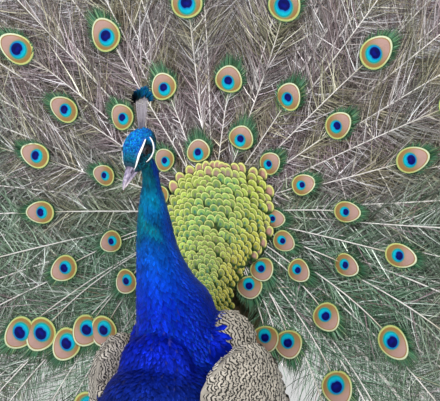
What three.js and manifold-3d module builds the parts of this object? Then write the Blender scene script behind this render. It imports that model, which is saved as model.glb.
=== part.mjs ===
// A peacock in full display, life size, as separate closed solids in one scene graph.
// Millimetres, +Z up. The bird faces -Y, and its left side is +X.
// Everything is modelled in the bird's own frame, with the feet near y = 0 and the floor at z = 0,
// and the whole group is shifted at the end so that its box is centred over the origin.

import * as THREE from 'three';
import { mergeVertices } from 'three/addons/utils/BufferGeometryUtils.js';
import Module from 'manifold-3d';

const wasm = await Module();
wasm.setup();

// ---------- driving dimensions ----------

const GAP = 0.35; // clearance between touching solids
const CENTRE_SHIFT_Y = -95; // brings the middle of the whole box to y = 0

// trunk: rows of [y, middle height, half height, half width], breast to rump
const TRUNK = [
  [-130, 374, 12, 12],
  [-112, 372, 56, 52],
  [-72, 366, 88, 84],
  [-15, 357, 106, 102],
  [50, 362, 108, 102],
  [105, 384, 92, 82],
  [148, 410, 62, 52],
  [176, 432, 10, 10],
];

// neck: rows of [z, middle y, half width, half depth], from inside the trunk to inside the head
const NECK = [
  [395, 18, 40, 60],
  [430, 22, 62, 88],
  [463, 21, 58, 85],
  [500, 3, 52, 68],
  [534, -10, 46, 61],
  [562, -32, 37, 44],
  [600, -52, 29, 31],
  [640, -61, 23.5, 24],
  [668, -65.5, 18, 18],
  [688, -68, 13.8, 13.8],
  [706, -72, 13.4, 13.6],
  [730, -90, 10, 10],
];
const NECK_CUTS = [560, 640]; // heights that part the neck into three lengths

// head: rows of [y, middle height, half height, half width] in the head's own frame
const HEAD_CENTRE = new THREE.Vector3(0, -100, 735);
const HEAD_PITCH = THREE.MathUtils.degToRad(45); // bill tipped down
const HEAD_YAW = THREE.MathUtils.degToRad(-5); // turned a little to the bird's right
const HEAD = [
  [31, 0, 4, 4],
  [26, 0, 13, 12.5],
  [12, 1, 20.5, 19.8],
  [-4, 1, 22, 21],
  [-18, -3, 18, 17.4],
  [-29, -4, 12, 11],
  [-37, -5.5, 4, 4],
];
const BILL_UPPER = [
  [-22, -3, 5.5, 6.5],
  [-31, -4, 6.2, 6.6],
  [-41, -4.2, 5.0, 4.6],
  [-50, -5.2, 3.6, 3.1],
  [-57, -7.0, 2.4, 2.0],
  [-62.5, -10.4, 0.6, 0.6],
];
const BILL_LOWER = [
  [-18, -11.5, 2.6, 6],
  [-29, -12.0, 3.0, 5.8],
  [-41, -11.2, 2.3, 3.7],
  [-51, -10.9, 1.5, 2.3],
  [-57, -11.4, 0.5, 0.6],
];
const EYE_RADIUS = 5.8;
const EYE_PLACE = new THREE.Vector3(15.6, -7.5, 5.5); // left eye, in the head's frame

// crest: a row of shafts in the head's plane of symmetry, with leaf-shaped tips that splay further
const CREST_ROOT = new THREE.Vector3(0, -93.5, 760);
const CREST_ROW = 16;
const CREST_SHAFTS = 7;
const CREST_LENGTH = 44;
const CREST_SPREAD = THREE.MathUtils.degToRad(28);
const CREST_LEAN = THREE.MathUtils.degToRad(2); // tilt of its middle, backwards from upright
const CREST_TIP = { length: 15, width: 10, thickness: 2.4, splay: 2.6 };

// wings: rows of [y, middle x, middle z, half thickness, half height], shoulder to rear
const WING = [
  [-82, 76, 408, 4, 10],
  [-55, 88, 404, 16, 46],
  [10, 97, 396, 25, 78],
  [75, 93, 384, 23, 72],
  [130, 84, 362, 14, 50],
  [178, 78, 338, 4, 14],
];
const SCAPULAR = { centre: new THREE.Vector3(48, 46, 462), size: new THREE.Vector3(38, 62, 48) };
const PRIMARIES = {
  rootY: 48,
  length: 288,
  rootLow: 268,
  rootHigh: 309,
  tipLow: 200,
  tipHigh: 258,
  x: 102,
  thickness: 4,
  feathers: 5,
};

// shield of golden-green scale feathers, raised against the root of the train
const SHIELD = {
  bottom: 446,
  top: 700,
  baseY: 86,
  topY: 108,
  baseX: -6,
  topX: 20,
  stalk: 36,
  disc: 80,
  thickness: 9,
};

// train: feathers fanned about one centre, on a shallow dish
const FAN = {
  centre: new THREE.Vector3(0, 120, 632),
  inner: 62,
  radius: 1150,
  limit: THREE.MathUtils.degToRad(160),
  fullTo: THREE.MathUtils.degToRad(106),
  shortest: 235,
  leanBack: 0.1,
  bowl: 205,
  sideBowl: 70,
  rimThickness: 0.9,
  rootThickness: 3,
};
const FAN_SECTORS = 14;
const SECTOR_TIPS = 4; // feather ends along the rim of one sector
const SECTOR_ROWS = 4;
const TIP_NOTCH = 0.035;
const RIDGE = 1.3;

// tail: the stiff feathers that stand behind the train and hold it up
const TAIL = {
  centre: new THREE.Vector3(0, 176, 482),
  inner: 26,
  radius: 415,
  limit: THREE.MathUtils.degToRad(86),
  lean: 0.26,
  thickness: 1.6,
  feathers: 16,
};

// rump mound that carries the train: rows of [z, middle y, half width, half depth]
const RUMP = [
  [430, 140, 30, 20],
  [465, 150, 56, 30],
  [560, 151, 66, 25],
  [640, 144, 58, 17],
  [692, 138, 22, 6],
];
const VENT = { centre: new THREE.Vector3(0, 184, 402), size: new THREE.Vector3(56, 44, 58) };

// legs: left side, mirrored for the right
const THIGH = [
  [308, 40, 56, 40],
  [272, 40, 58, 38],
  [228, 51, 60, 27],
  [186, 68, 62, 14.5],
  [160, 78, 63, 9.4],
  [148, 81, 63, 6],
];
const SHANK = [
  [158, 80, 63, 5],
  [150, 80, 63, 9],
  [136, 77, 63, 7],
  [80, 67, 63.5, 6.2],
  [26, 59, 64, 7],
  [9, 57, 64, 5],
];
const ANKLE = new THREE.Vector3(64, 56, 9);
const TOES = [
  { name: 'inner', turn: -30, length: 52 },
  { name: 'middle', turn: 2, length: 71 },
  { name: 'outer', turn: 33, length: 57 },
  { name: 'hallux', turn: 196, length: 27 },
];
const TOE_RADIUS = 5.6;
const TOE_HEIGHT = 4.4; // height of a toe's middle line, so that its sole is a flat strip
const CLAW_LENGTH = 14;
const FOOT_TOP = 11; // height of the ankle joint between foot and shank
const SPUR = { height: 62, rootX: 60, rootY: 65, length: 24, radius: 3.4 };

// ---------- materials ----------

function surface(colour, roughness, metalness = 0) {
  return new THREE.MeshStandardMaterial({ color: colour, roughness, metalness });
}

const LOOKS = {
  blue: () => surface(0x1238b8, 0.45, 0.2),
  teal: () => surface(0x0d5f78, 0.45, 0.2),
  gold: () => surface(0xa8a838, 0.5, 0.2),
  bronze: () => surface(0x5f5a45, 0.6, 0.1),
  barred: () => surface(0xa89a84, 0.7),
  chestnut: () => surface(0x9a5a30, 0.7),
  brown: () => surface(0x5b4c40, 0.75),
  down: () => surface(0x3b342f, 0.85),
  horn: () => surface(0xa8a09c, 0.45),
  scaled: () => surface(0x8d8378, 0.6),
  eye: () => surface(0x1a0d08, 0.08),
};

// ---------- geometry helpers ----------

function signedVolume(geometry) {
  const place = geometry.attributes.position;
  const index = geometry.index;
  const [a, b, c] = [new THREE.Vector3(), new THREE.Vector3(), new THREE.Vector3()];
  let six = 0;
  for (let i = 0; i < index.count; i += 3) {
    a.fromBufferAttribute(place, index.getX(i));
    b.fromBufferAttribute(place, index.getX(i + 1));
    c.fromBufferAttribute(place, index.getX(i + 2));
    six += a.dot(b.cross(c));
  }
  return six / 6;
}

// One closed body from a three.js geometry: shared vertices joined and faces turned outwards.
function solid(geometry) {
  geometry.deleteAttribute('normal');
  geometry.deleteAttribute('uv');
  const merged = mergeVertices(geometry, 1e-3);
  const corners = Uint32Array.from(merged.index.array);
  if (signedVolume(merged) < 0) {
    for (let i = 0; i < corners.length; i += 3) {
      [corners[i], corners[i + 1]] = [corners[i + 1], corners[i]];
    }
  }
  const mesh = new wasm.Mesh({
    numProp: 3,
    vertProperties: Float32Array.from(merged.attributes.position.array),
    triVerts: corners,
  });
  mesh.merge();
  return new wasm.Manifold(mesh);
}

// The largest single body of a cut, as a three.js geometry.
function largest(body) {
  const pieces = body.decompose();
  pieces.sort((a, b) => b.volume() - a.volume());
  const mesh = pieces[0].getMesh();
  const geometry = new THREE.BufferGeometry();
  geometry.setAttribute('position', new THREE.BufferAttribute(mesh.vertProperties, 3));
  geometry.setIndex(new THREE.BufferAttribute(mesh.triVerts, 1));
  return geometry;
}

// Every vertex of a geometry moved by a function of its place.
function mapped(geometry, move) {
  const place = geometry.attributes.position;
  const point = new THREE.Vector3();
  for (let i = 0; i < place.count; i += 1) {
    point.fromBufferAttribute(place, i);
    const moved = move(point);
    place.setXYZ(i, moved.x, moved.y, moved.z);
  }
  return geometry;
}

// A thin block whose front and back are cut along the same diagonals, so a bent blade stays even.
function evenBlade(columns, rows) {
  const blade = new THREE.BoxGeometry(1, 1, 1, columns, 1, rows);
  const index = blade.index;
  const under = blade.groups[3];
  for (let i = under.start; i < under.start + under.count; i += 6) {
    const [a, b, d] = [index.getX(i), index.getX(i + 1), index.getX(i + 2)];
    const c = index.getX(i + 4);
    [a, b, c, a, c, d].forEach((corner, k) => index.setX(i + k, corner));
  }
  return blade;
}

// A smooth value along a column of rows.
function spline(rows, column, t) {
  const points = rows.map((row) => new THREE.Vector3(row[column], 0, 0));
  return new THREE.CatmullRomCurve3(points, false, 'catmullrom', 0.5).getPoint(t).x;
}

// A closed body through oval sections. section(t) gives its middle and its two half axes.
function loft(section, sides, rows) {
  const ball = new THREE.SphereGeometry(1, sides, rows);
  return mapped(ball, (p) => {
    const t = Math.acos(THREE.MathUtils.clamp(p.y, -1, 1)) / Math.PI;
    const { middle, across, along } = section(t);
    const edge = Math.hypot(p.x, p.z);
    const cos = edge > 1e-6 ? p.x / edge : 0;
    const sin = edge > 1e-6 ? p.z / edge : 0;
    return middle.clone().addScaledVector(across, cos).addScaledVector(along, sin);
  });
}

// Sections that stand across Y, from rows of [y, z, half height, half width].
function lengthwise(rows, sides, rings, grow = 0) {
  return loft((t) => ({
    middle: new THREE.Vector3(0, spline(rows, 0, t), spline(rows, 1, t)),
    across: new THREE.Vector3(spline(rows, 3, t) + grow, 0, 0),
    along: new THREE.Vector3(0, 0, spline(rows, 2, t) + grow),
  }), sides, rings);
}

// Level sections stacked up Z, from rows of [z, y, half width, half depth].
function upright(rows, sides, rings, grow = 0) {
  return loft((t) => ({
    middle: new THREE.Vector3(0, spline(rows, 1, t), spline(rows, 0, t)),
    across: new THREE.Vector3(spline(rows, 2, t) + grow, 0, 0),
    along: new THREE.Vector3(0, spline(rows, 3, t) + grow, 0),
  }), sides, rings);
}

// Round limbs up Z, from rows of [z, y, x, radius]; side is 1 for the left and -1 for the right.
function limb(rows, side, sides, rings, grow = 0) {
  return loft((t) => {
    const radius = spline(rows, 3, t) + grow;
    return {
      middle: new THREE.Vector3(side * spline(rows, 2, t), spline(rows, 1, t), spline(rows, 0, t)),
      across: new THREE.Vector3(radius, 0, 0),
      along: new THREE.Vector3(0, radius, 0),
    };
  }, sides, rings);
}

function ellipsoid(centre, size, sides, rings, grow = 0) {
  const ball = new THREE.SphereGeometry(1, sides, rings);
  ball.scale(size.x + grow, size.y + grow, size.z + grow);
  ball.translate(centre.x, centre.y, centre.z);
  return ball;
}

// A tapering round cone from one point to another, with closed ends.
function cone(from, to, base, tip, sides) {
  const length = from.distanceTo(to);
  const shape = new THREE.CylinderGeometry(tip, base, length, sides, 1);
  const turn = new THREE.Quaternion().setFromUnitVectors(
    new THREE.Vector3(0, 1, 0),
    to.clone().sub(from).normalize(),
  );
  shape.applyQuaternion(turn);
  const middle = from.clone().add(to).multiplyScalar(0.5);
  shape.translate(middle.x, middle.y, middle.z);
  return shape;
}

// Everything between two heights.
function slab(low, high) {
  const box = new THREE.BoxGeometry(600, 600, high - low);
  box.translate(0, 0, (low + high) / 2);
  return solid(box);
}

function toHeadPlace(geometry) {
  geometry.rotateX(HEAD_PITCH);
  geometry.rotateZ(HEAD_YAW);
  geometry.translate(HEAD_CENTRE.x, HEAD_CENTRE.y, HEAD_CENTRE.z);
  return geometry;
}

// ---------- the group ----------

const bird = new THREE.Group();

function place(name, body, look) {
  const mesh = new THREE.Mesh(largest(body), LOOKS[look]());
  mesh.name = name;
  bird.add(mesh);
}

const SIDES = [
  { name: 'left', sign: 1 },
  { name: 'right', sign: -1 },
];

// ---------- trunk and neck ----------

const trunk = solid(lengthwise(TRUNK, 20, 12));
const trunkRoom = solid(lengthwise(TRUNK, 20, 12, GAP));
place('trunk', trunk, 'blue');

const headShape = solid(toHeadPlace(lengthwise(HEAD, 14, 9)));
const headRoom = solid(toHeadPlace(lengthwise(HEAD, 14, 9, GAP)));

const neck = solid(upright(NECK, 16, 15));
const neckRoom = solid(upright(NECK, 16, 15, GAP));
const [lowCut, highCut] = NECK_CUTS;
place('neck_lower', neck.intersect(slab(300, lowCut)).subtract(trunkRoom), 'blue');
place('neck_middle', neck.intersect(slab(lowCut + GAP, highCut)), 'blue');
place('neck_upper', neck.intersect(slab(highCut + GAP, 800)).subtract(headRoom), 'teal');

// ---------- head ----------

function eyeball(side, grow) {
  const ball = new THREE.SphereGeometry(EYE_RADIUS + grow, 10, 6);
  ball.translate(side * EYE_PLACE.x, EYE_PLACE.y, EYE_PLACE.z);
  return solid(toHeadPlace(ball));
}

let head = headShape;
for (const { name, sign } of SIDES) {
  head = head.subtract(eyeball(sign, GAP));
  place(`eye_${name}`, eyeball(sign, 0), 'eye');
}

const billUpper = solid(toHeadPlace(lengthwise(BILL_UPPER, 8, 6)));
const billUpperRoom = solid(toHeadPlace(lengthwise(BILL_UPPER, 8, 6, GAP)));
const billLower = solid(toHeadPlace(lengthwise(BILL_LOWER, 8, 5)));
place('head', head, 'blue');
place('bill_upper', billUpper.subtract(headRoom), 'horn');
place('bill_lower', billLower.subtract(headRoom).subtract(billUpperRoom), 'horn');

// The crest is one body: a root button, a row of thin shafts and a leaf-shaped tip on each.
function crest() {
  const button = new THREE.Vector3(3.4, CREST_ROW / 2 + 4, 4.5);
  let body = solid(ellipsoid(CREST_ROOT, button, 6, 5));
  for (let i = 0; i < CREST_SHAFTS; i += 1) {
    const share = i / (CREST_SHAFTS - 1) - 0.5;
    const angle = CREST_LEAN + share * CREST_SPREAD;
    const reach = CREST_LENGTH * (1 - share * share);
    const side = ((i % 3) - 1) * 1.2;
    const root = CREST_ROOT.clone().add(new THREE.Vector3(0, share * CREST_ROW, -1));
    const direction = new THREE.Vector3(side / reach, Math.sin(angle), Math.cos(angle)).normalize();
    const end = root.clone().addScaledVector(direction, reach);
    body = body.add(solid(cone(root, end, 0.8, 0.6, 3)));
    const turn = CREST_LEAN + share * CREST_SPREAD * CREST_TIP.splay;
    const leaf = new THREE.SphereGeometry(1, 4, 4);
    leaf.scale(CREST_TIP.thickness / 2, CREST_TIP.width / 2, CREST_TIP.length / 2);
    leaf.translate(0, 0, CREST_TIP.length / 2 - 2);
    leaf.rotateX(-turn);
    leaf.translate(end.x, end.y, end.z);
    body = body.add(solid(leaf));
  }
  return body.subtract(headRoom);
}

place('crest', crest(), 'teal');

// ---------- wings ----------

function wingLoft(side, grow) {
  return loft((t) => ({
    middle: new THREE.Vector3(side * spline(WING, 1, t), spline(WING, 0, t), spline(WING, 2, t)),
    across: new THREE.Vector3(spline(WING, 3, t) + grow, 0, 0),
    along: new THREE.Vector3(0, 0, spline(WING, 4, t) + grow),
  }), 10, 8);
}

function wingBody(side, grow) {
  const centre = SCAPULAR.centre.clone();
  centre.x *= side;
  return solid(wingLoft(side, grow)).add(solid(ellipsoid(centre, SCAPULAR.size, 8, 5, grow)));
}

// Flight feathers below the wing: a thin blade whose rear edge steps from feather tip to tip.
function primaries(side) {
  const across = PRIMARIES.feathers * 2;
  const blade = new THREE.BoxGeometry(1, 1, 1, 1, 3, across);
  return mapped(blade, (p) => {
    const v = p.y + 0.5;
    const u = p.z + 0.5;
    const column = Math.round(u * across);
    const notch = column % 2 === 0 ? 0.05 : 0;
    const reach = PRIMARIES.length * (1 - 0.32 * u - notch);
    const low = THREE.MathUtils.lerp(PRIMARIES.rootLow, PRIMARIES.tipLow, v);
    const high = THREE.MathUtils.lerp(PRIMARIES.rootHigh, PRIMARIES.tipHigh, v);
    const thick = PRIMARIES.thickness * (1 - 0.6 * v);
    const swell = 10 * Math.sin(Math.PI * u) * (1 - v);
    return new THREE.Vector3(
      side * (PRIMARIES.x + swell - 8 * v + p.x * thick),
      PRIMARIES.rootY + reach * v,
      THREE.MathUtils.lerp(low, high, u),
    );
  });
}

const wingRooms = {};
for (const { name, sign } of SIDES) {
  const wing = wingBody(sign, 0).subtract(trunkRoom).subtract(neckRoom);
  wingRooms[name] = wingBody(sign, GAP);
  place(`wing_${name}`, wing, 'barred');
  place(`primaries_${name}`, solid(primaries(sign)), 'chestnut');
}
const wingsRoom = wingRooms.left.add(wingRooms.right);

// ---------- rump, vent and shield ----------

const rumpRoom = solid(upright(RUMP, 14, 7, GAP));
place('rump', solid(upright(RUMP, 14, 7)).subtract(trunkRoom).subtract(wingsRoom), 'down');

function shieldHalfWidth(share) {
  const rise = THREE.MathUtils.smoothstep(share, 0.3, 0.62);
  const arch = share > 0.7 ? Math.sqrt(Math.max(0, 1 - ((share - 0.7) / 0.3) ** 2)) : 1;
  return THREE.MathUtils.lerp(SHIELD.stalk, SHIELD.disc, rise) * Math.max(arch, 0.12);
}

// The shield is a curved plate, cushioned in the middle, with a crimped edge of feather tips.
function shield(grow) {
  const plate = new THREE.BoxGeometry(1, 1, 1, 6, 1, 12);
  return mapped(plate, (p) => {
    const share = p.z + 0.5;
    const across = p.x * 2;
    const height = THREE.MathUtils.lerp(SHIELD.bottom - grow, SHIELD.top + grow, share);
    const half = shieldHalfWidth(share) + grow;
    const middle = THREE.MathUtils.lerp(SHIELD.baseX, SHIELD.topX, share);
    const back = THREE.MathUtils.lerp(SHIELD.baseY, SHIELD.topY, share);
    const cushion = 1 - across * across;
    const front = back - 6 * cushion - (SHIELD.thickness + 2 * grow) * (p.y < 0 ? 1 : 0);
    return new THREE.Vector3(middle + across * half, front + 8 * across * across + grow, height);
  });
}

const bodyRoom = trunkRoom.add(neckRoom).add(wingsRoom).add(rumpRoom);
const shieldRoom = solid(shield(GAP));
place('back_shield', solid(shield(0)).subtract(bodyRoom), 'gold');

// ---------- train ----------

// How far the longest feathers reach at an angle from upright.
function fanReach(angle) {
  const share = THREE.MathUtils.smoothstep(Math.abs(angle), FAN.fullTo, FAN.limit);
  return THREE.MathUtils.lerp(FAN.radius, FAN.shortest, share);
}

// A place on the dish of the train.
function fanPoint(angle, reach, offset) {
  const far = reach / FAN.radius;
  const side = Math.sin(angle) ** 2;
  const depth = FAN.leanBack * reach - (FAN.bowl + FAN.sideBowl * side) * far * far;
  return new THREE.Vector3(
    FAN.centre.x + reach * Math.sin(angle),
    FAN.centre.y + depth + offset,
    FAN.centre.z + reach * Math.cos(angle),
  );
}

// One sector: a thin blade with a ridge for each row of shafts and a notch between feather tips.
function fanSector(index) {
  const columns = SECTOR_TIPS * 2;
  const width = (2 * FAN.limit) / FAN_SECTORS;
  const start = -FAN.limit + index * width;
  const blade = evenBlade(columns, SECTOR_ROWS);
  return mapped(blade, (p) => {
    const column = Math.round((p.x + 0.5) * columns);
    const ridge = column % 2 === 1;
    const share = p.z + 0.5;
    const angle = start + (p.x + 0.5) * width;
    const end = fanReach(angle) * (ridge ? 1 : 1 - TIP_NOTCH);
    const reach = THREE.MathUtils.lerp(FAN.inner, end, share);
    const trim = column === 0 ? GAP / 2 : column === columns ? -GAP / 2 : 0;
    const fade = (1 - reach / FAN.radius) ** 2;
    const thick = THREE.MathUtils.lerp(FAN.rimThickness, FAN.rootThickness, fade);
    const offset = p.y * thick - (ridge ? RIDGE * share : 0);
    return fanPoint(angle + trim / reach, reach, offset);
  });
}

const trainRoom = bodyRoom.add(shieldRoom);
for (let i = 0; i < FAN_SECTORS; i += 1) {
  const number = String(i + 1).padStart(2, '0');
  place(`train_${number}`, solid(fanSector(i)).subtract(trainRoom), 'bronze');
}

// ---------- tail ----------

function tailFan() {
  const columns = TAIL.feathers * 2;
  const blade = new THREE.BoxGeometry(1, 1, 1, columns, 1, 2);
  return mapped(blade, (p) => {
    const column = Math.round((p.x + 0.5) * columns);
    const angle = p.x * 2 * TAIL.limit;
    const ridge = column % 2 === 1;
    const end = TAIL.radius * (1 - 0.12 * (angle / TAIL.limit) ** 2) * (ridge ? 1 : 0.955);
    const reach = THREE.MathUtils.lerp(TAIL.inner, end, p.z + 0.5);
    const offset = p.y * TAIL.thickness + (ridge ? RIDGE : 0);
    return new THREE.Vector3(
      TAIL.centre.x + reach * Math.sin(angle),
      TAIL.centre.y + TAIL.lean * reach + offset,
      TAIL.centre.z + reach * Math.cos(angle),
    );
  });
}

const tail = solid(tailFan());
place('tail', tail.subtract(rumpRoom).subtract(trunkRoom), 'brown');

const vent = solid(ellipsoid(VENT.centre, VENT.size, 12, 8));
const ventClear = slab(300, TAIL.centre.z - 3);
place('vent', vent.subtract(trunkRoom).subtract(rumpRoom).intersect(ventClear), 'down');

// ---------- legs ----------

function toeEnd(side, toe) {
  const turn = THREE.MathUtils.degToRad(toe.turn);
  const reach = toe.length;
  return new THREE.Vector3(
    side * (ANKLE.x + Math.sin(turn) * reach),
    ANKLE.y - Math.cos(turn) * reach,
    TOE_HEIGHT,
  );
}

// A toe: a tube that swells at its joints, from the ankle to a blunt end.
function toeBody(side, toe) {
  const start = new THREE.Vector3(side * ANKLE.x, ANKLE.y, TOE_HEIGHT + 1);
  const end = toeEnd(side, toe);
  const across = new THREE.Vector3(start.y - end.y, end.x - start.x, 0).normalize();
  return loft((t) => {
    const radius = TOE_RADIUS * (1 - 0.36 * t) * (1 + 0.1 * Math.cos(t * Math.PI * 4));
    return {
      middle: start.clone().lerp(end, t),
      across: across.clone().multiplyScalar(radius),
      along: new THREE.Vector3(0, 0, radius),
    };
  }, 6, 5);
}

function footPad(side, grow) {
  const centre = new THREE.Vector3(side * ANKLE.x, ANKLE.y - 3, TOE_HEIGHT);
  return ellipsoid(centre, new THREE.Vector3(11, 12, 8), 8, 5, grow);
}

// A foot is one body of four toes and a pad, with flat soles on the floor.
function foot(side) {
  return TOES.reduce((body, toe) => body.add(solid(toeBody(side, toe))), solid(footPad(side, 0)));
}

// A claw curves down from just past the toe's end, and stays clear of the floor.
function claw(side, toe) {
  const end = toeEnd(side, toe);
  const turn = THREE.MathUtils.degToRad(toe.turn);
  const ahead = new THREE.Vector3(side * Math.sin(turn), -Math.cos(turn), 0);
  const across = new THREE.Vector3(-ahead.y, ahead.x, 0);
  return loft((t) => {
    const radius = 2.9 * (1 - t) + 0.35;
    const middle = end.clone().addScaledVector(ahead, GAP + CLAW_LENGTH * t);
    middle.z = TOE_HEIGHT + 0.9 * Math.sin(Math.PI * t) - (TOE_HEIGHT - 1.2) * t * t;
    return {
      middle,
      across: across.clone().multiplyScalar(radius),
      along: new THREE.Vector3(0, 0, radius),
    };
  }, 6, 5);
}

for (const { name, sign } of SIDES) {
  const thigh = solid(limb(THIGH, sign, 12, 7)).subtract(trunkRoom).subtract(wingsRoom);
  const thighRoom = solid(limb(THIGH, sign, 12, 7, GAP));
  place(`thigh_${name}`, thigh, 'down');
  const shank = solid(limb(SHANK, sign, 8, 7)).intersect(slab(FOOT_TOP, 400));
  place(`shank_${name}`, shank.subtract(thighRoom), 'scaled');
  place(`foot_${name}`, foot(sign).intersect(slab(0, FOOT_TOP - GAP)), 'scaled');
  const spurRoot = new THREE.Vector3(sign * SPUR.rootX, SPUR.rootY, SPUR.height);
  const spurTip = spurRoot.clone().add(new THREE.Vector3(sign * -6, SPUR.length, 7));
  const spur = solid(cone(spurRoot, spurTip, SPUR.radius, 0.5, 6));
  const shankRoom = solid(limb(SHANK, sign, 8, 7, GAP));
  place(`spur_${name}`, spur.subtract(shankRoom), 'horn');
  for (const toe of TOES) {
    place(`claw_${toe.name}_${name}`, solid(claw(sign, toe)), 'horn');
  }
}

bird.position.y = CENTRE_SHIFT_Y;

export default bird;
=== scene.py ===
# %% [markdown]
# # A peacock in full display
#
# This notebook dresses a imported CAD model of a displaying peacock. The CAD solids fix the sizes and
# places. Here they are replaced by one smooth skin, by thousands of small overlapping feathers, and by
# the long train feathers with their shafts, loose barbs and eye spots.

import math

import bmesh
import bpy
import numpy as np
from mathutils import Matrix, Vector
from mathutils.bvhtree import BVHTree


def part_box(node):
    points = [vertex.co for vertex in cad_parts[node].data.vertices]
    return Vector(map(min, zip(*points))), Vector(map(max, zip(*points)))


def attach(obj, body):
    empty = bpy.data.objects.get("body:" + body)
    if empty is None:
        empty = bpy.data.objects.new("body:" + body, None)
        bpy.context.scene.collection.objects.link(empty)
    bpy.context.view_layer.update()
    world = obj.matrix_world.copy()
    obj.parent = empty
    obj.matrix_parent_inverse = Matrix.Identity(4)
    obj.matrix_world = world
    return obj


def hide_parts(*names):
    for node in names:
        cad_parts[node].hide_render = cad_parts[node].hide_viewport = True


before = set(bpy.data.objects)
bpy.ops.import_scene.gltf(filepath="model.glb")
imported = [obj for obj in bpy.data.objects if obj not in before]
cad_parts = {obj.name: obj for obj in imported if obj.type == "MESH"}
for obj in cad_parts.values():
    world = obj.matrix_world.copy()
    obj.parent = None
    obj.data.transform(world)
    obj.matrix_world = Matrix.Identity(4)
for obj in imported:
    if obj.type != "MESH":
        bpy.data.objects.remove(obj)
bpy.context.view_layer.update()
print("CAD nodes:", len(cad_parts))

# %% [markdown]
# The bird was measured in millimetres in its own frame, with the feet near y = 0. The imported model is
# shifted along Y so that its box is centred, and it is in metres. One pair of constants takes every
# length and place from the bird's frame to the scene.

# %% Units and the bird's frame
MM = 0.001
CENTRE_SHIFT_Y = -95.0


def to_scene(points):
    """Millimetres in the bird's frame to metres in the scene, for an array whose last axis is xyz."""
    points = np.asarray(points, float)
    return (points + np.array([0.0, CENTRE_SHIFT_Y, 0.0])) * MM


def from_scene(points):
    """Metres in the scene to millimetres in the bird's frame."""
    return points / MM - np.array([0, CENTRE_SHIFT_Y, 0])


eye_low, eye_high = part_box("eye_left")
print("left eye in the frame:", [round(v, 4) for v in (eye_low + eye_high) / 2])

# %% [markdown]
# Colours are written as the hexadecimal values a painter would pick from a screen. Shaders work on
# linear light, so each one is converted once.


# %% Colours
def linear(code):
    """A #rrggbb colour as linear red, green and blue."""
    parts = [int(code[i : i + 2], 16) / 255 for i in (1, 3, 5)]
    return np.array([p / 12.92 if p <= 0.04045 else ((p + 0.055) / 1.055) ** 2.4 for p in parts])


def smoothstep(value, low, high):
    share = np.clip((np.asarray(value, float) - low) / (high - low), 0.0, 1.0)
    return share * share * (3.0 - 2.0 * share)


def lerp(a, b, share):
    return a + (b - a) * share


def blend_colours(a, b, share):
    """A blend of two colours, each an array or a #rrggbb code, for an array of shares."""
    a, b = (linear(c) if isinstance(c, str) else c for c in (a, b))
    share = np.asarray(share, float)[..., None]
    return a * (1.0 - share) + b * share


def stops(value, places, colours):
    """A colour along a row of named stops, for an array of values."""
    table = np.array([linear(c) for c in colours])
    return np.stack([np.interp(value, places, table[:, i]) for i in range(3)], axis=-1)


# %% [markdown]
# The body is drawn as a few lofts: rows of oval sections that a smooth curve runs through. The rows are
# the same as those of the CAD solids, so the skin keeps the bird's true outline.

# %% Body sections
# rows of [y, middle height, half height, half width]
TRUNK = [
    [-130, 374, 12, 12], [-112, 372, 56, 52], [-72, 366, 88, 84], [-15, 357, 106, 102],
    [50, 362, 108, 102], [105, 384, 92, 82], [148, 410, 62, 52], [176, 432, 10, 10],
]
# the crop rounds off the corner between the neck and the breast
CROP_CENTRE, CROP_SIZE = (0, -56, 440), (57, 35, 53)
# rows of [z, middle y, half width, half depth]
NECK = [
    [395, 18, 40, 60], [430, 22, 62, 88], [463, 21, 58, 85], [500, 3, 52, 68], [534, -10, 46, 61],
    [562, -32, 37, 44], [600, -52, 29, 31], [640, -61, 23.5, 24], [668, -65.5, 18, 18],
    [688, -68, 13.8, 13.8], [706, -72, 13.4, 13.6], [730, -90, 10, 10],
]
RUMP = [
    [430, 140, 30, 20], [465, 150, 56, 30], [560, 151, 66, 25], [640, 144, 58, 17], [692, 138, 22, 6],
]
# rows of [y, middle height, half height, half width] in the head's own frame
HEAD = [
    [31, 0, 4, 4], [26, 0, 13, 12.5], [12, 1, 20.5, 19.8], [-4, 1, 22, 21], [-18, -3, 18, 17.4],
    [-29, -4, 12, 11], [-37, -5.5, 4, 4],
]
# rows of [y, middle x, middle z, half thickness, half height]
WING = [
    [-82, 76, 408, 4, 10], [-55, 88, 404, 16, 46], [10, 97, 396, 25, 78], [75, 93, 384, 23, 72],
    [130, 84, 362, 14, 50], [178, 78, 338, 4, 14],
]
# rows of [z, y, x, radius]
THIGH = [
    [308, 40, 56, 40], [272, 40, 58, 38], [228, 51, 60, 27], [186, 68, 62, 14.5], [160, 78, 63, 9.4],
    [148, 81, 63, 6],
]
SCAPULAR_CENTRE = (48, 46, 462)
SCAPULAR_SIZE = (38, 62, 48)
VENT_CENTRE = (0, 184, 402)
VENT_SIZE = (56, 44, 58)
SHIELD_BOTTOM, SHIELD_TOP = 446, 700
SHIELD_BASE_Y, SHIELD_TOP_Y = 86, 108
SHIELD_BASE_X, SHIELD_TOP_X = -6, 20
SHIELD_STALK, SHIELD_DISC = 36, 80
SHIELD_BULGE, SHIELD_THICK, SHIELD_CURL = 6, 9, 8

HEAD_CENTRE = np.array([0.0, -100.0, 735.0])
HEAD_TURN = np.array(
    Matrix.Rotation(math.radians(-5), 3, "Z") @ Matrix.Rotation(math.radians(45), 3, "X")
)


def from_head(points):
    """Places in the head's own frame, to the bird's frame."""
    return np.asarray(points, float) @ HEAD_TURN.T + HEAD_CENTRE


def into_head(points):
    """Places in the bird's frame, to the head's own frame."""
    return (np.asarray(points, float) - HEAD_CENTRE) @ HEAD_TURN


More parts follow.
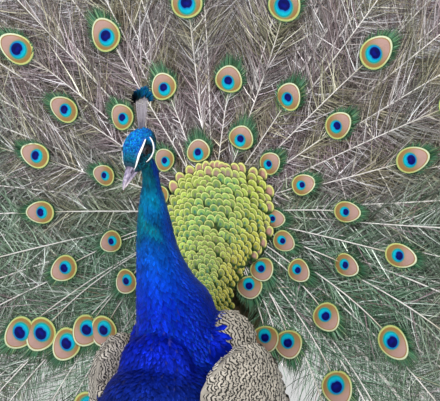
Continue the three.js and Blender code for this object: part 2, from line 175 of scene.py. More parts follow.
def spline(rows, column, share):
    """A smooth value along one column of rows, for a share from 0 to 1."""
    values = np.array([row[column] for row in rows], float)
    last = len(values) - 1
    place = np.clip(np.asarray(share, float) * last, 0.0, last)
    index = np.minimum(place.astype(int), last - 1)
    rest = place - index
    ends = np.concatenate([[2 * values[0] - values[1]], values, [2 * values[-1] - values[-2]]])
    before, here, after, beyond = (ends[index + k] for k in range(4))
    slope_in, slope_out = 0.5 * (after - before), 0.5 * (beyond - here)
    square, cube = rest * rest, rest * rest * rest
    return (
        (2 * cube - 3 * square + 1) * here
        + (cube - 2 * square + rest) * slope_in
        + (3 * square - 2 * cube) * after
        + (cube - square) * slope_out
    )


print("sections:", len(TRUNK), "trunk,", len(NECK), "neck,", len(HEAD), "head")

# %% [markdown]
# Each loft starts as a ball from `bmesh.ops.create_uvsphere`. Its poles become the two ends of the loft
# and its rings become the oval sections. The coat's depth is taken off every half axis, so that the
# skin lies inside the CAD solid and the feathers bring the outline back out to it.


# %% Lofted shapes
def ball(sides, rings):
    """A bmesh ball, with the share from pole to pole and the direction round it of each vertex."""
    bm = bmesh.new()
    bmesh.ops.create_uvsphere(bm, u_segments=sides, v_segments=rings, radius=1.0)
    places = np.array([v.co for v in bm.verts])
    share = np.arccos(np.clip(places[:, 2], -1, 1)) / math.pi
    edge = np.hypot(places[:, 0], places[:, 1])
    edge = np.where(edge < 1e-6, 1.0, edge)
    inside = (share > 1e-4) & (share < 1 - 1e-4)
    return bm, share, places[:, 0] / edge * inside, places[:, 1] / edge * inside


def placed(bm, points):
    """Moves a bmesh's vertices to places in the bird's frame, with its faces turned outwards."""
    for vert, place in zip(bm.verts, to_scene(points)):
        vert.co = place
    bmesh.ops.recalc_face_normals(bm, faces=bm.faces)
    return bm


LENGTHWISE, UPRIGHT, LIMB, WINGWISE = (None, 1, 3, 2), (None, 1, 2, 3), (2, 1, 3, 3), (1, 2, 3, 4)


def loft(rows, columns, sides, rings, grow=0.0, side=1, head=False):
    """A ball drawn out along rows of sections. columns are those of the middle's x, of its other
    coordinate, and of both half axes. Column 0 runs along the shape."""
    bm, share, cos, sin = ball(sides, rings)
    x, other, wide, deep = (0.0 if c is None else spline(rows, c, share) for c in columns)
    x, other = side * x + (wide + grow) * cos, other + (deep + grow) * sin
    along = spline(rows, 0, share)
    standing = columns in (UPRIGHT, LIMB)
    points = np.stack([x, other, along] if standing else [x, along, other], axis=-1)
    return placed(bm, from_head(points) if head else points), share, np.arctan2(sin, cos)


def oval(centre, size, grow):
    bm = bmesh.new()
    bmesh.ops.create_uvsphere(bm, u_segments=32, v_segments=20, radius=1.0)
    points = np.array([v.co for v in bm.verts]) * (np.array(size) + grow) + np.array(centre)
    return placed(bm, points)


def shield_half_width(share):
    rise = smoothstep(share, 0.3, 0.62)
    arch = np.sqrt(np.clip(1 - np.clip((share - 0.7) / 0.3, 0, 1) ** 2, 0, 1))
    return lerp(SHIELD_STALK, SHIELD_DISC, rise) * np.maximum(arch, 0.12)


def shield_place(across, share, lift=0.0):
    """A place on the front of the shield: across from -1 to 1, share from bottom to top."""
    across, share = np.broadcast_arrays(np.asarray(across, float), np.asarray(share, float))
    half = shield_half_width(share)
    middle = lerp(SHIELD_BASE_X, SHIELD_TOP_X, share)
    back = lerp(SHIELD_BASE_Y, SHIELD_TOP_Y, share)
    front = back - SHIELD_BULGE * (1 - across**2) - SHIELD_THICK + SHIELD_CURL * across**2 - lift
    return np.stack([middle + across * half, front, lerp(SHIELD_BOTTOM, SHIELD_TOP, share)], axis=-1)


def shield_shape():
    bm, share, cos, sin = ball(40, 30)
    front = shield_place(cos * 0.97, 1 - share)
    front[:, 1] += 4 + 3 * sin
    return placed(bm, front)


COAT_DEPTH = {
    "head": 1.4, "neck": 2.6, "trunk": 5.0, "wing": 4.0, "scapular": 4.0, "thigh": 4.0, "rump": 5.0,
    "vent": 9.0,
}


def body_shapes():
    """Every fleshy shape of the bird, by region, each smaller than its solid by the coat's depth."""
    shapes = {
        "head": [loft(HEAD, LENGTHWISE, 40, 30, -COAT_DEPTH["head"], head=True)[0]],
        "neck": [loft(NECK, UPRIGHT, 40, 60, -COAT_DEPTH["neck"])[0]],
        "trunk": [
            loft(TRUNK, LENGTHWISE, 48, 40, -COAT_DEPTH["trunk"])[0],
            oval(CROP_CENTRE, CROP_SIZE, -COAT_DEPTH["trunk"]),
        ],
        "rump": [loft(RUMP, UPRIGHT, 32, 24, -COAT_DEPTH["rump"])[0]],
        "vent": [oval(VENT_CENTRE, VENT_SIZE, -COAT_DEPTH["vent"])],
        "shield": [shield_shape()],
        "wing": [],
        "scapular": [],
        "thigh": [],
    }
    for side in (1, -1):
        centre = (side * SCAPULAR_CENTRE[0], *SCAPULAR_CENTRE[1:])
        shapes["wing"].append(loft(WING, WINGWISE, 32, 24, -COAT_DEPTH["wing"], side)[0])
        shapes["scapular"].append(oval(centre, SCAPULAR_SIZE, -COAT_DEPTH["scapular"]))
        shapes["thigh"].append(loft(THIGH, LIMB, 28, 26, -COAT_DEPTH["thigh"], side)[0])
    return shapes


shapes = body_shapes()
region_names = list(shapes)
region_trees = {name: [BVHTree.FromBMesh(bm) for bm in group] for name, group in shapes.items()}
print("body shapes:", {name: len(group) for name, group in shapes.items()})

# %% [markdown]
# The lofts overlap, and a real bird has one skin. A Remesh modifier in voxel mode joins them into one
# closed surface, and a few rounds of smoothing round off the creases where the shapes meet.

# %% One skin over every fleshy part
SKIN_VOXEL = 2.7 * MM
SKIN_SMOOTH_ROUNDS = 6


def joined_shapes(groups):
    whole = bmesh.new()
    for group in groups.values():
        for bm in group:
            mesh = bpy.data.meshes.new("part")
            bm.to_mesh(mesh)
            whole.from_mesh(mesh)
            bpy.data.meshes.remove(mesh)
    return whole


def new_object(name, mesh):
    piece = bpy.data.objects.new(name, mesh)
    bpy.context.scene.collection.objects.link(piece)
    return piece


def applied(piece):
    """The piece with its modifiers made into mesh."""
    graph = bpy.context.evaluated_depsgraph_get()
    mesh = bpy.data.meshes.new_from_object(piece.evaluated_get(graph))
    piece.modifiers.clear()
    old, piece.data = piece.data, mesh
    name = old.name
    bpy.data.meshes.remove(old)
    mesh.name = name
    return piece


def make_skin():
    """The body shapes remeshed into one surface and smoothed."""
    mesh = bpy.data.meshes.new("skin")
    joined_shapes(shapes).to_mesh(mesh)
    skin = new_object("skin", mesh)
    remesh = skin.modifiers.new("join", "REMESH")
    remesh.mode = "VOXEL"
    remesh.voxel_size = SKIN_VOXEL
    remesh.use_smooth_shade = True
    applied(skin)
    bm = bmesh.new()
    bm.from_mesh(skin.data)
    for _ in range(SKIN_SMOOTH_ROUNDS):
        bmesh.ops.smooth_vert(
            bm, verts=bm.verts, factor=0.5, use_axis_x=True, use_axis_y=True, use_axis_z=True
        )
    bm.to_mesh(skin.data)
    bm.free()
    return skin


skin = make_skin()
skin_tree = BVHTree.FromObject(skin, bpy.context.evaluated_depsgraph_get())
print("skin faces:", len(skin.data.polygons))

# %% [markdown]
# A joined mesh made from arrays is the quickest way to lay many thousands of small vanes. Every mesh of
# feathers carries three things: its vane's own coordinates in the map "Vane", with U across and V from
# root to tip; a colour for each vertex in "Coat"; and a map named "OFBake", in which every tuft has a
# small patch of its own near its root's place.

# %% Joined meshes from arrays
PATCH = 0.003


def joined_mesh(name, verts, tris, vane=None, bake=None, coat=None):
    """A mesh object from arrays of places in metres, triangles, and values for each vertex."""
    verts, tris = verts.reshape(-1, 3), tris.reshape(-1, 3)
    mesh = bpy.data.meshes.new(name)
    mesh.vertices.add(len(verts))
    mesh.vertices.foreach_set("co", verts.astype(np.float32).ravel())
    mesh.loops.add(tris.size)
    mesh.loops.foreach_set("vertex_index", tris.astype(np.int32).ravel())
    mesh.polygons.add(len(tris))
    mesh.polygons.foreach_set("loop_start", np.arange(0, tris.size, 3, dtype=np.int32))
    mesh.polygons.foreach_set("use_smooth", np.full(len(tris), True))
    mesh.update(calc_edges=True)
    for layer, values in (("Vane", vane), ("OFBake", bake)):
        if values is not None:
            uv = mesh.uv_layers.new(name=layer)
            uv.data.foreach_set("uv", values.reshape(-1, 2)[tris.ravel()].astype(np.float32).ravel())
    if coat is not None:
        colours = np.ones((len(verts), 4), np.float32)
        colours[:, :3] = coat.reshape(-1, 3)
        layer = mesh.color_attributes.new("Coat", "FLOAT_COLOR", "POINT")
        layer.data.foreach_set("color", colours.ravel())
    mesh.validate()
    return new_object(name, mesh)


def unit(vectors):
    return vectors / np.maximum(np.linalg.norm(vectors, axis=-1, keepdims=True), 1e-9)


def patches(base, local):
    """Bake places: each tuft's base place, with its own vane coordinates shrunk to a patch."""
    base = base[:, None, :] * (1 - 2 * PATCH) + PATCH
    return base + (local[None, :, :] - 0.5) * PATCH


def vane_pattern(columns, rows, outline):
    """A flat vane: (across, along) of each vertex, with its triangles. outline(v) is the half width."""
    across = np.linspace(-1, 1, columns + 1)
    along = np.linspace(0, 1, rows + 1)
    grid = np.stack(np.meshgrid(across, along), axis=-1).reshape(-1, 2)
    width = outline(grid[:, 1])
    corners = np.arange((columns + 1) * (rows + 1)).reshape(rows + 1, columns + 1)
    a, b = corners[:-1, :-1].ravel(), corners[:-1, 1:].ravel()
    c, d = corners[1:, 1:].ravel(), corners[1:, :-1].ravel()
    tris = np.concatenate([np.stack([a, b, c], -1), np.stack([a, c, d], -1)])
    return grid, width, tris


def repeated(tris, count, size):
    """The triangles of one pattern, repeated for every copy."""
    return (tris[None] + (np.arange(count) * size)[:, None, None]).reshape(-1, 3)


def copies(name, verts, tris, local, base, coat=None, vane=None):
    """A joined mesh of copies of one pattern. local is the pattern's vane map, base its bake places."""
    count, size = len(verts), len(local)
    return joined_mesh(
        name, to_scene(verts), repeated(tris, count, size),
        vane=np.broadcast_to(local[None], (count, size, 2)) if vane is None else vane,
        bake=patches(base, local), coat=coat,
    )


def flat_bake(flat):
    """Bake places from flat places, stretched to fill the map."""
    return (flat - flat.min(0)) / (flat.max(0) - flat.min(0))


def round_end(along, start, span, least):
    """1 as far as start, then falling over a span in a quarter of an oval, but not below least."""
    fall = np.clip((along - start) / span, 0, 1)
    return np.maximum(np.sqrt(np.clip(1 - fall**2, 0, 1)), least)


def rounded_vane(along):
    """The half width of a small body feather: narrow root, broad middle, round tip."""
    return (0.45 + 0.55 * smoothstep(along, 0.0, 0.5)) * round_end(along, 0.55, 0.45, 0.12)


def pointed_vane(along):
    """The half width of a thin hair-like feather."""
    return (0.5 + 0.5 * smoothstep(along, 0.0, 0.3)) * (1 - 0.85 * smoothstep(along, 0.45, 1.0))


print("vane patterns ready")

# %% [markdown]
# Feathers are rooted all over the skin at a spacing that suits each region: smallest on the face, broad
# on the belly. Random points are thinned so that no two are closer than that spacing, which looks like
# a real coat, where rows drift and never line up exactly.

# %% Roots scattered over the skin
SPACING = {
    "head": 1.75, "neck": (2.3, 4.4), "trunk": (7.6, 4.6), "wing": (9.0, 5.2), "scapular": 6.0,
    "thigh": 4.0, "rump": 8.0, "vent": 5.0, "shield": 9.0,
}
SCAPULAR_FRONT_Y = 5.0
CANDIDATES = 130000
SCATTER_SEED = 11
HEAD_WEIGHT, NECK_WEIGHT, BREAST_WEIGHT = 22.0, 8.0, 3.4
REGION_CELL = 6.0 * MM
ROOT_CELL = 6.0
region_cells = {}


def skin_triangles():
    mesh = skin.data
    mesh.calc_loop_triangles()
    verts = np.empty(len(mesh.vertices) * 3, np.float32)
    mesh.vertices.foreach_get("co", verts)
    tris = np.empty(len(mesh.loop_triangles) * 3, np.int32)
    mesh.loop_triangles.foreach_get("vertices", tris)
    return verts.reshape(-1, 3).astype(float), tris.reshape(-1, 3)


def nearest_region(point):
    """The shape nearest to a point on the skin, looked up once for each small cell of space."""
    key = tuple((point // REGION_CELL).astype(int))
    if key not in region_cells:
        best, found = 1e9, None
        for name, trees in region_trees.items():
            for tree in trees:
                distance = tree.find_nearest(point)[3]
                if distance < best:
                    best, found = distance, name
        ahead = point[1] / MM - CENTRE_SHIFT_Y < SCAPULAR_FRONT_Y
        region_cells[key] = "trunk" if ahead and found == "scapular" else found
    return region_cells[key]


def down_neck(places):
    """From 0 at the throat to 1 at the breast."""
    return smoothstep(660 - places[..., 2], 0, 190)


def up_breast(places):
    """From 0 on the belly and the back to 1 on the front of the breast."""
    return smoothstep(60 - places[..., 1], 0, 70)


def spacing_at(region, place):
    """Spacing in millimetres. A pair runs from the throat down the neck, or forward to the breast."""
    gap = SPACING[region]
    if isinstance(gap, tuple):
        gap = lerp(*gap, float(down_neck(place) if region == "neck" else up_breast(place)))
    return gap


def scatter():
    """Roots on the skin: places and normals in the bird's frame, and the region of each."""
    verts, tris = skin_triangles()
    corners = verts[tris]
    first, second = corners[:, 1] - corners[:, 0], corners[:, 2] - corners[:, 0]
    cross = np.cross(first, second)
    area = np.linalg.norm(cross, axis=1) / 2
    centre = from_scene(corners.mean(axis=1))
    near_head = np.linalg.norm(centre - HEAD_CENTRE, axis=1) < 36
    near_neck = (centre[:, 2] > 520) & (centre[:, 1] < 60)
    near_breast = (centre[:, 1] < 40) & (centre[:, 2] > 290)
    near_breast |= centre[:, 2] < 300
    weight = np.where(near_neck, NECK_WEIGHT, np.where(near_breast, BREAST_WEIGHT, 1.0))
    weight = area * np.where(near_head, HEAD_WEIGHT, weight)
    random = np.random.default_rng(SCATTER_SEED)
    picks = random.choice(len(tris), CANDIDATES, p=weight / weight.sum())
    a, b = random.random((2, CANDIDATES))
    flip = a + b > 1
    a, b = np.where(flip, 1 - a, a), np.where(flip, 1 - b, b)
    points = corners[picks, 0] + a[:, None] * first[picks]
    points += b[:, None] * second[picks]
    normals = unit(cross)[picks]
    grid, kept, regions = {}, [], []
    places = from_scene(points)
    for index, place in enumerate(places):
        region = nearest_region(points[index])
        gap = spacing_at(region, place)
        key = tuple((place // ROOT_CELL).astype(int))
        cells = int(math.ceil(gap / ROOT_CELL))
        reach = range(-cells, cells + 1)
        near = [
            places[other]
            for i in reach
            for j in reach
            for k in reach
            for other in grid.get((key[0] + i, key[1] + j, key[2] + k), ())
        ]
        clash = len(near) and ((np.array(near) - place) ** 2).sum(axis=1).min() < gap * gap
        if not clash:
            grid.setdefault(key, []).append(index)
            kept.append(index)
            regions.append(region)
    return places[kept], normals[kept], np.array(regions)


roots, root_normals, root_regions = scatter()
print("feather roots:", {n: int((root_regions == n).sum()) for n in region_names})

# %% [markdown]
# The skin needs an unwrap of its own shape, for the bake and for the roots' places on it. Smart UV
# Project cuts it into charts by the way its faces point, which suits a closed, folded body.


# %% The skin's unwrap
def unwrap(piece, angle=66.0):
    bpy.ops.object.select_all(action="DESELECT")
    bpy.context.view_layer.objects.active = piece
    piece.select_set(True)
    piece.data.uv_layers.new(name="OFBake")
    bpy.ops.object.mode_set(mode="EDIT")
    bpy.ops.mesh.select_all(action="SELECT")
    bpy.ops.uv.smart_project(angle_limit=math.radians(angle), island_margin=0.002)
    bpy.ops.object.mode_set(mode="OBJECT")


unwrap(skin)
skin_uv = np.empty(len(skin.data.loops) * 2, np.float32)
skin.data.uv_layers["OFBake"].data.foreach_get("uv", skin_uv)
skin_uv = skin_uv.reshape(-1, 2)
first_loop = np.empty(len(skin.data.polygons), np.int32)
skin.data.polygons.foreach_get("loop_start", first_loop)
print("skin charts from", skin_uv.min(axis=0), "to", skin_uv.max(axis=0))

# %% [markdown]
# A peacock's head is cobalt above, with a black mask through the eye, a bare white brow that runs down
# to the bill, and a bare white crescent under the eye. These lines are rows of [y, z] in the head's own
# frame, on the side of the head. The feathers and the skin under them take their colours from the same
# function, so that no skin of another colour shows between the feathers; the skin's copy is darker, as
# painted shade in the gaps.

# %% Markings of the head
BROW = [[3.5, 15.9], [-4.5, 15.0], [-12.8, 11.7], [-20.7, 7.6], [-26.5, 3.4], [-33, -2.5]]
CRESCENT = [[10.7, 12.0], [9, 7.8], [5.8, 2.0], [1.5, -4.2], [-4.5, -6.8], [-11.7, -6.3], [-17.9, -5.0]]
EYE_PLACE = np.array([14.4, -7.5, 5.5])
EYE_RADIUS = 5.3
RIGHT_BROW_DROP = 4.5


def noise(points, scale, seed):
    """Soft random values from 0 to 1 that vary over space, from a few crossed waves."""
    random = np.random.default_rng(seed)
    total = np.zeros(len(points))
    for _ in range(7):
        direction = random.normal(size=3)
        direction *= (0.6 + 0.8 * random.random()) / (np.linalg.norm(direction) * scale)
        total += np.sin(points @ direction * 2 * math.pi + random.random() * 7)
    return np.clip(0.5 + total / 7, 0, 1)


def line_height(line, y):
    table = np.array(sorted(line))
    return np.interp(y, table[:, 0], table[:, 1])


def head_colours(points):
    """Colours of the head, for places in the head's own frame."""
    y, z = points[:, 1], points[:, 2]
    drop = RIGHT_BROW_DROP * (points[:, 0] < 0)
    speckle = noise(points, 3.2, 3)
    crown = blend_colours("#0660e8", "#14a8ec", smoothstep(speckle, 0.35, 0.85))
    front = smoothstep(-y, 12, 26)
    crown = blend_colours(crown, "#0a7a8a", front * 0.85)
    crown = blend_colours(crown, "#08283a", 0.8 * smoothstep(-y, 24, 31))
    mask = "#061020"
    cheek = blend_colours("#0b3b56", "#127078", smoothstep(speckle, 0.4, 0.9))
    below_brow = smoothstep(line_height(BROW, y) - drop - z, -1.5, 1.5) * smoothstep(-y, -6, 0)
    colour = blend_colours(crown, mask, below_brow)
    cheek_share = below_brow * smoothstep(-y, 8, 14) * smoothstep(-z, -3, 3)
    colour = blend_colours(colour, cheek, cheek_share)
    behind = smoothstep(y, 3, 10) * smoothstep(-z, -13, -7)
    colour = blend_colours(colour, blend_colours(mask, "#0a3fae", smoothstep(z, 4, 16)), behind)
    # painted shade: the underside of the head, under the jaw, is darkened
    return blend_colours(colour, "#06304a", smoothstep(-z, 7, 12))


print("mask at the eye:", head_colours(EYE_PLACE[None]).round(3))

# %% [markdown]
# The neck runs from green-blue under the chin to cobalt on the breast, and the belly is nearly black.
# The train's covert feathers on the back are gold and green, the wings are barred with black on buff,
# and the thighs are buff. Heights are in millimetres.

# %% Colours of the plumage
# The turquoise stops at 655 and 672 mm are partly the neck's own colour and partly a painted highlight
# streak.
NECK_STOPS = [
    [250, "#14100d"], [300, "#101414"], [345, "#0b1f3c"], [390, "#0a2a84"], [430, "#08248e"],
    [480, "#0420b6"], [530, "#0326c6"], [565, "#0344d6"], [595, "#0357d0"], [618, "#034c94"],
    [640, "#034a7e"], [655, "#0369a8"], [672, "#0484ae"], [688, "#03586f"], [705, "#083a50"],
]


def neck_colours(points, normals):
    """Colours by height, with teal patches high on the neck that are partly its own green and partly
    painted reflection. The flanks are painted violet-blue and the nape darker, as painted shade where
    the neck turns away.
    """
    colour = stops(points[:, 2], [s[0] for s in NECK_STOPS], [s[1] for s in NECK_STOPS])
    mottle = noise(points, 34, 5)
    upper = smoothstep(points[:, 2], 590, 650)
    # teal patches high on the neck: partly the neck's own green, partly painted reflection
    teal = blend_colours(colour, "#069a94", 0.6 * smoothstep(mottle, 0.48, 0.85) * upper)
    # painted shade: the nape, facing backwards, is darkened
    nape = smoothstep(normals[:, 1], 0.1, 0.8) * smoothstep(points[:, 2], 520, 600)
    teal = teal * (0.62 + 0.76 * noise(points, 7, 11))[:, None]
    # painted shade: the flanks, facing sideways, turn violet-blue and darker
    violet = smoothstep(np.abs(normals[:, 0]), 0.7, 1.0)
    teal = blend_colours(teal, "#0a1ea4", 0.6 * violet)
    return blend_colours(teal, "#06205c", 0.55 * nape)


def plumage_colours(points, normals, regions):
    """The colour of the coat at places in the bird's frame."""
    neck = neck_colours(points, normals)
    down = noise(points, 26, 8)
    dark = blend_colours("#17120e", "#2c251e", down)
    belly = smoothstep(points[:, 1], 0, 90)
    trunk = blend_colours(neck, dark, belly)
    back = smoothstep(normals[:, 2], 0.1, 0.6) * smoothstep(points[:, 1], 10, 50)
    gold = blend_colours("#3f5a28", "#8a8f3c", down)
    trunk = blend_colours(trunk, gold, back)
    wing = blend_colours("#a8a196", "#cdc5b8", down)
    table = {
        "head": head_colours(into_head(points)), "neck": neck, "trunk": trunk, "wing": wing,
        "scapular": wing, "thigh": blend_colours("#7a6347", "#a08868", down),
        "rump": blend_colours("#4b5230", "#5d4a30", down),
        "vent": blend_colours("#2a221c", "#5a5048", smoothstep(down, 0.4, 0.95)), "shield": gold,
    }
    colour = np.zeros_like(points)
    for name, values in table.items():
        colour[regions == name] = values[regions == name]
    near_head = smoothstep(-into_head(points)[:, 2], 15, 24)[:, None]
    at_head = (regions == "head")[:, None]
    return np.where(at_head, colour * (1 - near_head) + neck * near_head, colour)


def skin_regions():
    """The region and colour of every vertex of the skin, kept as the attribute Coat."""
    verts, _ = skin_triangles()
    normals = np.empty(len(verts) * 3, np.float32)
    skin.data.vertices.foreach_get("normal", normals)
    regions = np.array([nearest_region(v) for v in verts])
    places = from_scene(verts)
    colours = np.ones((len(verts), 4), np.float32)
    # painted shade: the skin is the coat's colour at 0.6, for the shade in the gaps between feathers
    colours[:, :3] = plumage_colours(places, normals.reshape(-1, 3), regions) * 0.6
    layer = skin.data.color_attributes.new("Coat", "FLOAT_COLOR", "POINT")
    layer.data.foreach_set("color", colours.ravel())
    return regions


vertex_regions = skin_regions()
print("skin coloured:", len(vertex_regions), "vertices")

# %% [markdown]
# Small feathers lie along the body like tiles on a roof: each root is covered by the tip of the feather
# before it. A vane is laid in three steps over the skin, each step following the skin's own slope, so
# that it hugs the body instead of standing off as a straight blade would.

# %% Laying the small feathers
LAY_SEED = 21
STEPS = 3


def lie_of(places, normals, regions):
    """Which way the coat runs, as unit vectors along the skin."""
    rear = smoothstep(places[:, 1], -40, 30)[:, None]
    flow = lerp(np.array([0, 0.15, -1.0]), np.array([0, 1.0, -0.3]), rear)
    on_head = regions == "head"
    flow[on_head] = HEAD_TURN @ np.array([0.0, 1.0, -0.25])
    on_neck = (regions == "neck") | (on_head & (into_head(places)[:, 2] < -14))
    heights = np.array([row[0] for row in NECK], float)
    middles = np.array([row[1] for row in NECK], float)
    slope = np.interp(places[:, 2], heights, np.gradient(middles, heights))
    flow[on_neck] = np.stack([0 * slope, -slope, -1 + 0 * slope], axis=-1)[on_neck]
    flow[regions == "wing"] = (0, 1, -0.22)
    flow[regions == "thigh"] = (0, 0.25, -1)
    flow[regions == "rump"] = (0, 0, 1)
    on_vent = regions == "vent"
    spread = (places - np.array(VENT_CENTRE)) * np.array([1.0, 0.3, 0.7]) / 50
    flow[on_vent] = (spread + np.array([0, 1.0, 0.1]))[on_vent]
    flow[regions == "scapular"] = (0, 1, -0.35)
    flow -= normals * (flow * normals).sum(axis=1, keepdims=True)
    return unit(flow)


def spines(places, normals, flow, lengths):
    """Places and normals at the joints of each vane's spine, found by walking over the skin."""
    count = len(places)
    spine = np.empty((count, STEPS + 1, 3))
    slope = np.empty((count, STEPS + 1, 3))
    for i in range(count):
        place, normal, way = places[i], normals[i], flow[i]
        spine[i, 0], slope[i, 0] = place, normal
        for k in range(1, STEPS + 1):
            target = Vector(to_scene(place + way * lengths[i] / STEPS))
            found, turned, _, _ = skin_tree.find_nearest(target)
            place = from_scene(np.array(found))
            normal = unit(0.5 * normal + 0.5 * np.array(turned))
            way = unit(way - normal * np.dot(way, normal))
            spine[i, k], slope[i, k] = place, normal
    return spine, slope


def lay(name, chosen, length, width, rise, pattern, tint, cup=0.1, fan=7.0, ruffle=0.25):
    """One piece of small feathers. length, width and rise are in millimetres, one for each root."""
    places, normals = roots[chosen], root_normals[chosen]
    regions = root_regions[chosen]
    random = np.random.default_rng(LAY_SEED + len(places))
    count = len(places)
    length = length * (1 + 0.16 * (random.random(count) - 0.5))
    width = width * (1 + 0.16 * (random.random(count) - 0.5))
    flow = lie_of(places, normals, regions)
    turn = np.radians(fan) * random.normal(size=count).clip(-2, 2)[:, None]
    flow = flow * np.cos(turn) + np.cross(normals, flow) * np.sin(turn)
    spine, slope = spines(places, normals, flow, length)
    grid, half, tris = pattern
    across, along = grid[:, 0], grid[:, 1]
    step = np.minimum((along * STEPS).astype(int), STEPS - 1)
    rest = (along * STEPS - step)[None, :, None]
    middle = spine[:, step] * (1 - rest) + spine[:, step + 1] * rest
    up = unit(slope[:, step] * (1 - rest) + slope[:, step + 1] * rest)
    ahead = unit(spine[:, step + 1] - spine[:, step])
    sideways = unit(np.cross(up, ahead))
    lift = (0.1 + 0.9 * along)[None] * (rise * (1 + ruffle * random.normal(size=count)))[:, None]
    bend = -cup * width[:, None] * (across**2 * half)[None]
    out = sideways * (across * half)[None, :, None] * (width / 2)[:, None, None]
    verts = middle + out + up * (lift + bend)[:, :, None]
    shade = tint(places, normals, regions, along, across, random)
    local = np.stack([0.5 + 0.5 * across, along], axis=-1)
    vane = np.broadcast_to(local[None], (count, len(grid), 2)).copy()
    vane[:, :, 1] += random.integers(0, 40, count)[:, None]
    polygons = [skin_tree.find_nearest(Vector(p))[2] for p in to_scene(places)]
    return copies(name, verts, tris, local, skin_uv[first_loop[polygons]], shade, vane)


def plain_tint(tip=None, tip_share=0.5, spread=0.18, root_dark=0.45):
    """Feathers in the plumage's own colours, darker at the root, with a tip of another colour."""

    def tint(places, normals, regions, along, across, random):
        base = plumage_colours(places, normals, regions)
        bright = 1 + spread * random.normal(size=len(places)).clip(-2, 2)
        shade = base[:, None, :] * bright[:, None, None]
        shade = shade * (root_dark + (1 - root_dark) * smoothstep(along, 0.2, 0.75))[None, :, None]
        if tip is not None:
            edge = smoothstep(along + 0.25 * across**2, 0.72, 1.0) * tip_share
            edge = edge[None, :, None] * (0.4 + 0.6 * random.random(len(places)))[:, None, None]
            shade = shade * (1 - edge) + linear(tip) * edge
        return shade.clip(0, 1)

    return tint


print("laying ready")

# %% [markdown]
# Bare skin has no feathers on it, so the roots close to the brow, the crescent, the eye and the bill are
# left out.


# %% Which roots carry feathers
def path_distance(points, line):
    """How far places in the head's frame are from a line on its side, in millimetres."""
    line = np.array(line, float)
    best = np.full(len(points), 1e9)
    for a, b in zip(line[:-1], line[1:]):
        run = b - a
        share = np.clip(((points - a) @ run) / (run @ run), 0, 1)
        best = np.minimum(best, np.linalg.norm(points - a - share[:, None] * run, axis=1))
    return best


def bare_roots():
    local = into_head(roots)
    on_head = root_regions == "head"
    flat = local[:, 1:]
    wide = np.abs(local[:, 0]) > 4
    drop = np.stack([0 * flat[:, 0], RIGHT_BROW_DROP * (local[:, 0] < 0)], -1)
    brow = (path_distance(flat + drop, BROW) < 1.6) & wide
    crescent = (path_distance(flat, CRESCENT) < 2.1) & wide
    near_eye = np.linalg.norm(flat - EYE_PLACE[1:], axis=1) < 6.4
    at_bill = local[:, 1] < -29.5
    return on_head & (brow | crescent | (near_eye & wide) | at_bill)


growing = ~bare_roots()
print("bare places on the face:", int((~growing).sum()))

# %% [markdown]
# Sizes go by region. The feathers of the head are like tiny scales, 4 mm long, and those of the neck
# grow steadily towards the breast.

# %% Feathers of the head, neck and body
body_vane = vane_pattern(2, 3, rounded_vane)
broad_vane = vane_pattern(4, 4, rounded_vane)
thin_vane = vane_pattern(2, 3, pointed_vane)
coat_pieces = {}


def region_roots(*names):
    return np.flatnonzero(np.isin(root_regions, names) & growing)


def neck_size(small, large):
    return lambda places: lerp(small, large, down_neck(places))


def trunk_size(rear, front):
    return lambda places: lerp(rear, front, up_breast(places))


def face_size(places):
    return lerp(4.6, 3.4, smoothstep(-into_head(places)[:, 1], 10, 28))


def sized(size, places):
    """A size for every root, from a number or from a function of place."""
    return size(places) if callable(size) else np.full(len(places), float(size))


def lay_coat(name, length, width, rise, pattern, tint, **options):
    """The feathers of one region. A width below 1 is a share of the length."""
    chosen = region_roots(*(("wing", "scapular") if name == "wing" else (name,)))
    places = roots[chosen]
    long = sized(length, places)
    if name == "wing":
        long = np.where(root_regions[chosen] == "wing", long, SCAPULAR_LENGTH)
    wide = long * width if not callable(width) and width < 1 else sized(width, places)
    piece = f"feathers_{name}"
    rise = sized(rise, places)
    coat_pieces[piece] = lay(piece, chosen, long, wide, rise, pattern, tint, **options)


SCAPULAR_LENGTH = 19.0
lay_coat(
    "head", face_size, 0.72, 0.95, body_vane,
    plain_tint(tip="#38c4ee", tip_share=0.4, spread=0.24), ruffle=0.3,
)
lay_coat(
    "neck", neck_size(7.6, 14), neck_size(3.6, 7.4), neck_size(1.4, 2.3), body_vane,
    plain_tint(tip="#0a78e0", tip_share=0.2, spread=0.1, root_dark=0.75), ruffle=0.12,
)
lay_coat(
    "trunk", trunk_size(24, 14.5), trunk_size(14, 7.8), trunk_size(4.2, 2.9), body_vane,
    plain_tint(spread=0.1, root_dark=0.75), ruffle=0.12,
)
thigh_tint = plain_tint(tip="#a89272", tip_share=0.35, root_dark=0.6)
lay_coat("thigh", 13, 6.2, 2.8, body_vane, thigh_tint)
lay_coat("rump", 27, 16, 4.2, body_vane, plain_tint(tip="#7d6c48", tip_share=0.4))
lay_coat("vent", 34, 9, 9, thin_vane, plain_tint(tip="#8d8378", tip_share=0.5), fan=16)
wing_tint = plain_tint(spread=0.12, root_dark=0.7)
lay_coat("wing", trunk_size(30, 17), 0.58, 3.8, broad_vane, wing_tint)
print({name: len(piece.data.polygons) for name, piece in coat_pieces.items()})

# %% [markdown]
# The lower back is covered with small round golden-green feathers. With the train raised they stand up
# as a shield of scales, small at the bottom and larger towards the rim, where the last rows have coppery
# hearts and yellow edges. Each tip covers the roots above it.

# %% Scales of the back shield
SCALE_SEED = 31
SCALE_GAP = (5.2, 9.4)
SCALE_FOCUS = (-10.0, 330.0)
SCALE_BAKE_CORNER, SCALE_BAKE_SIZE = np.array([-90, 430]), np.array([230, 310])


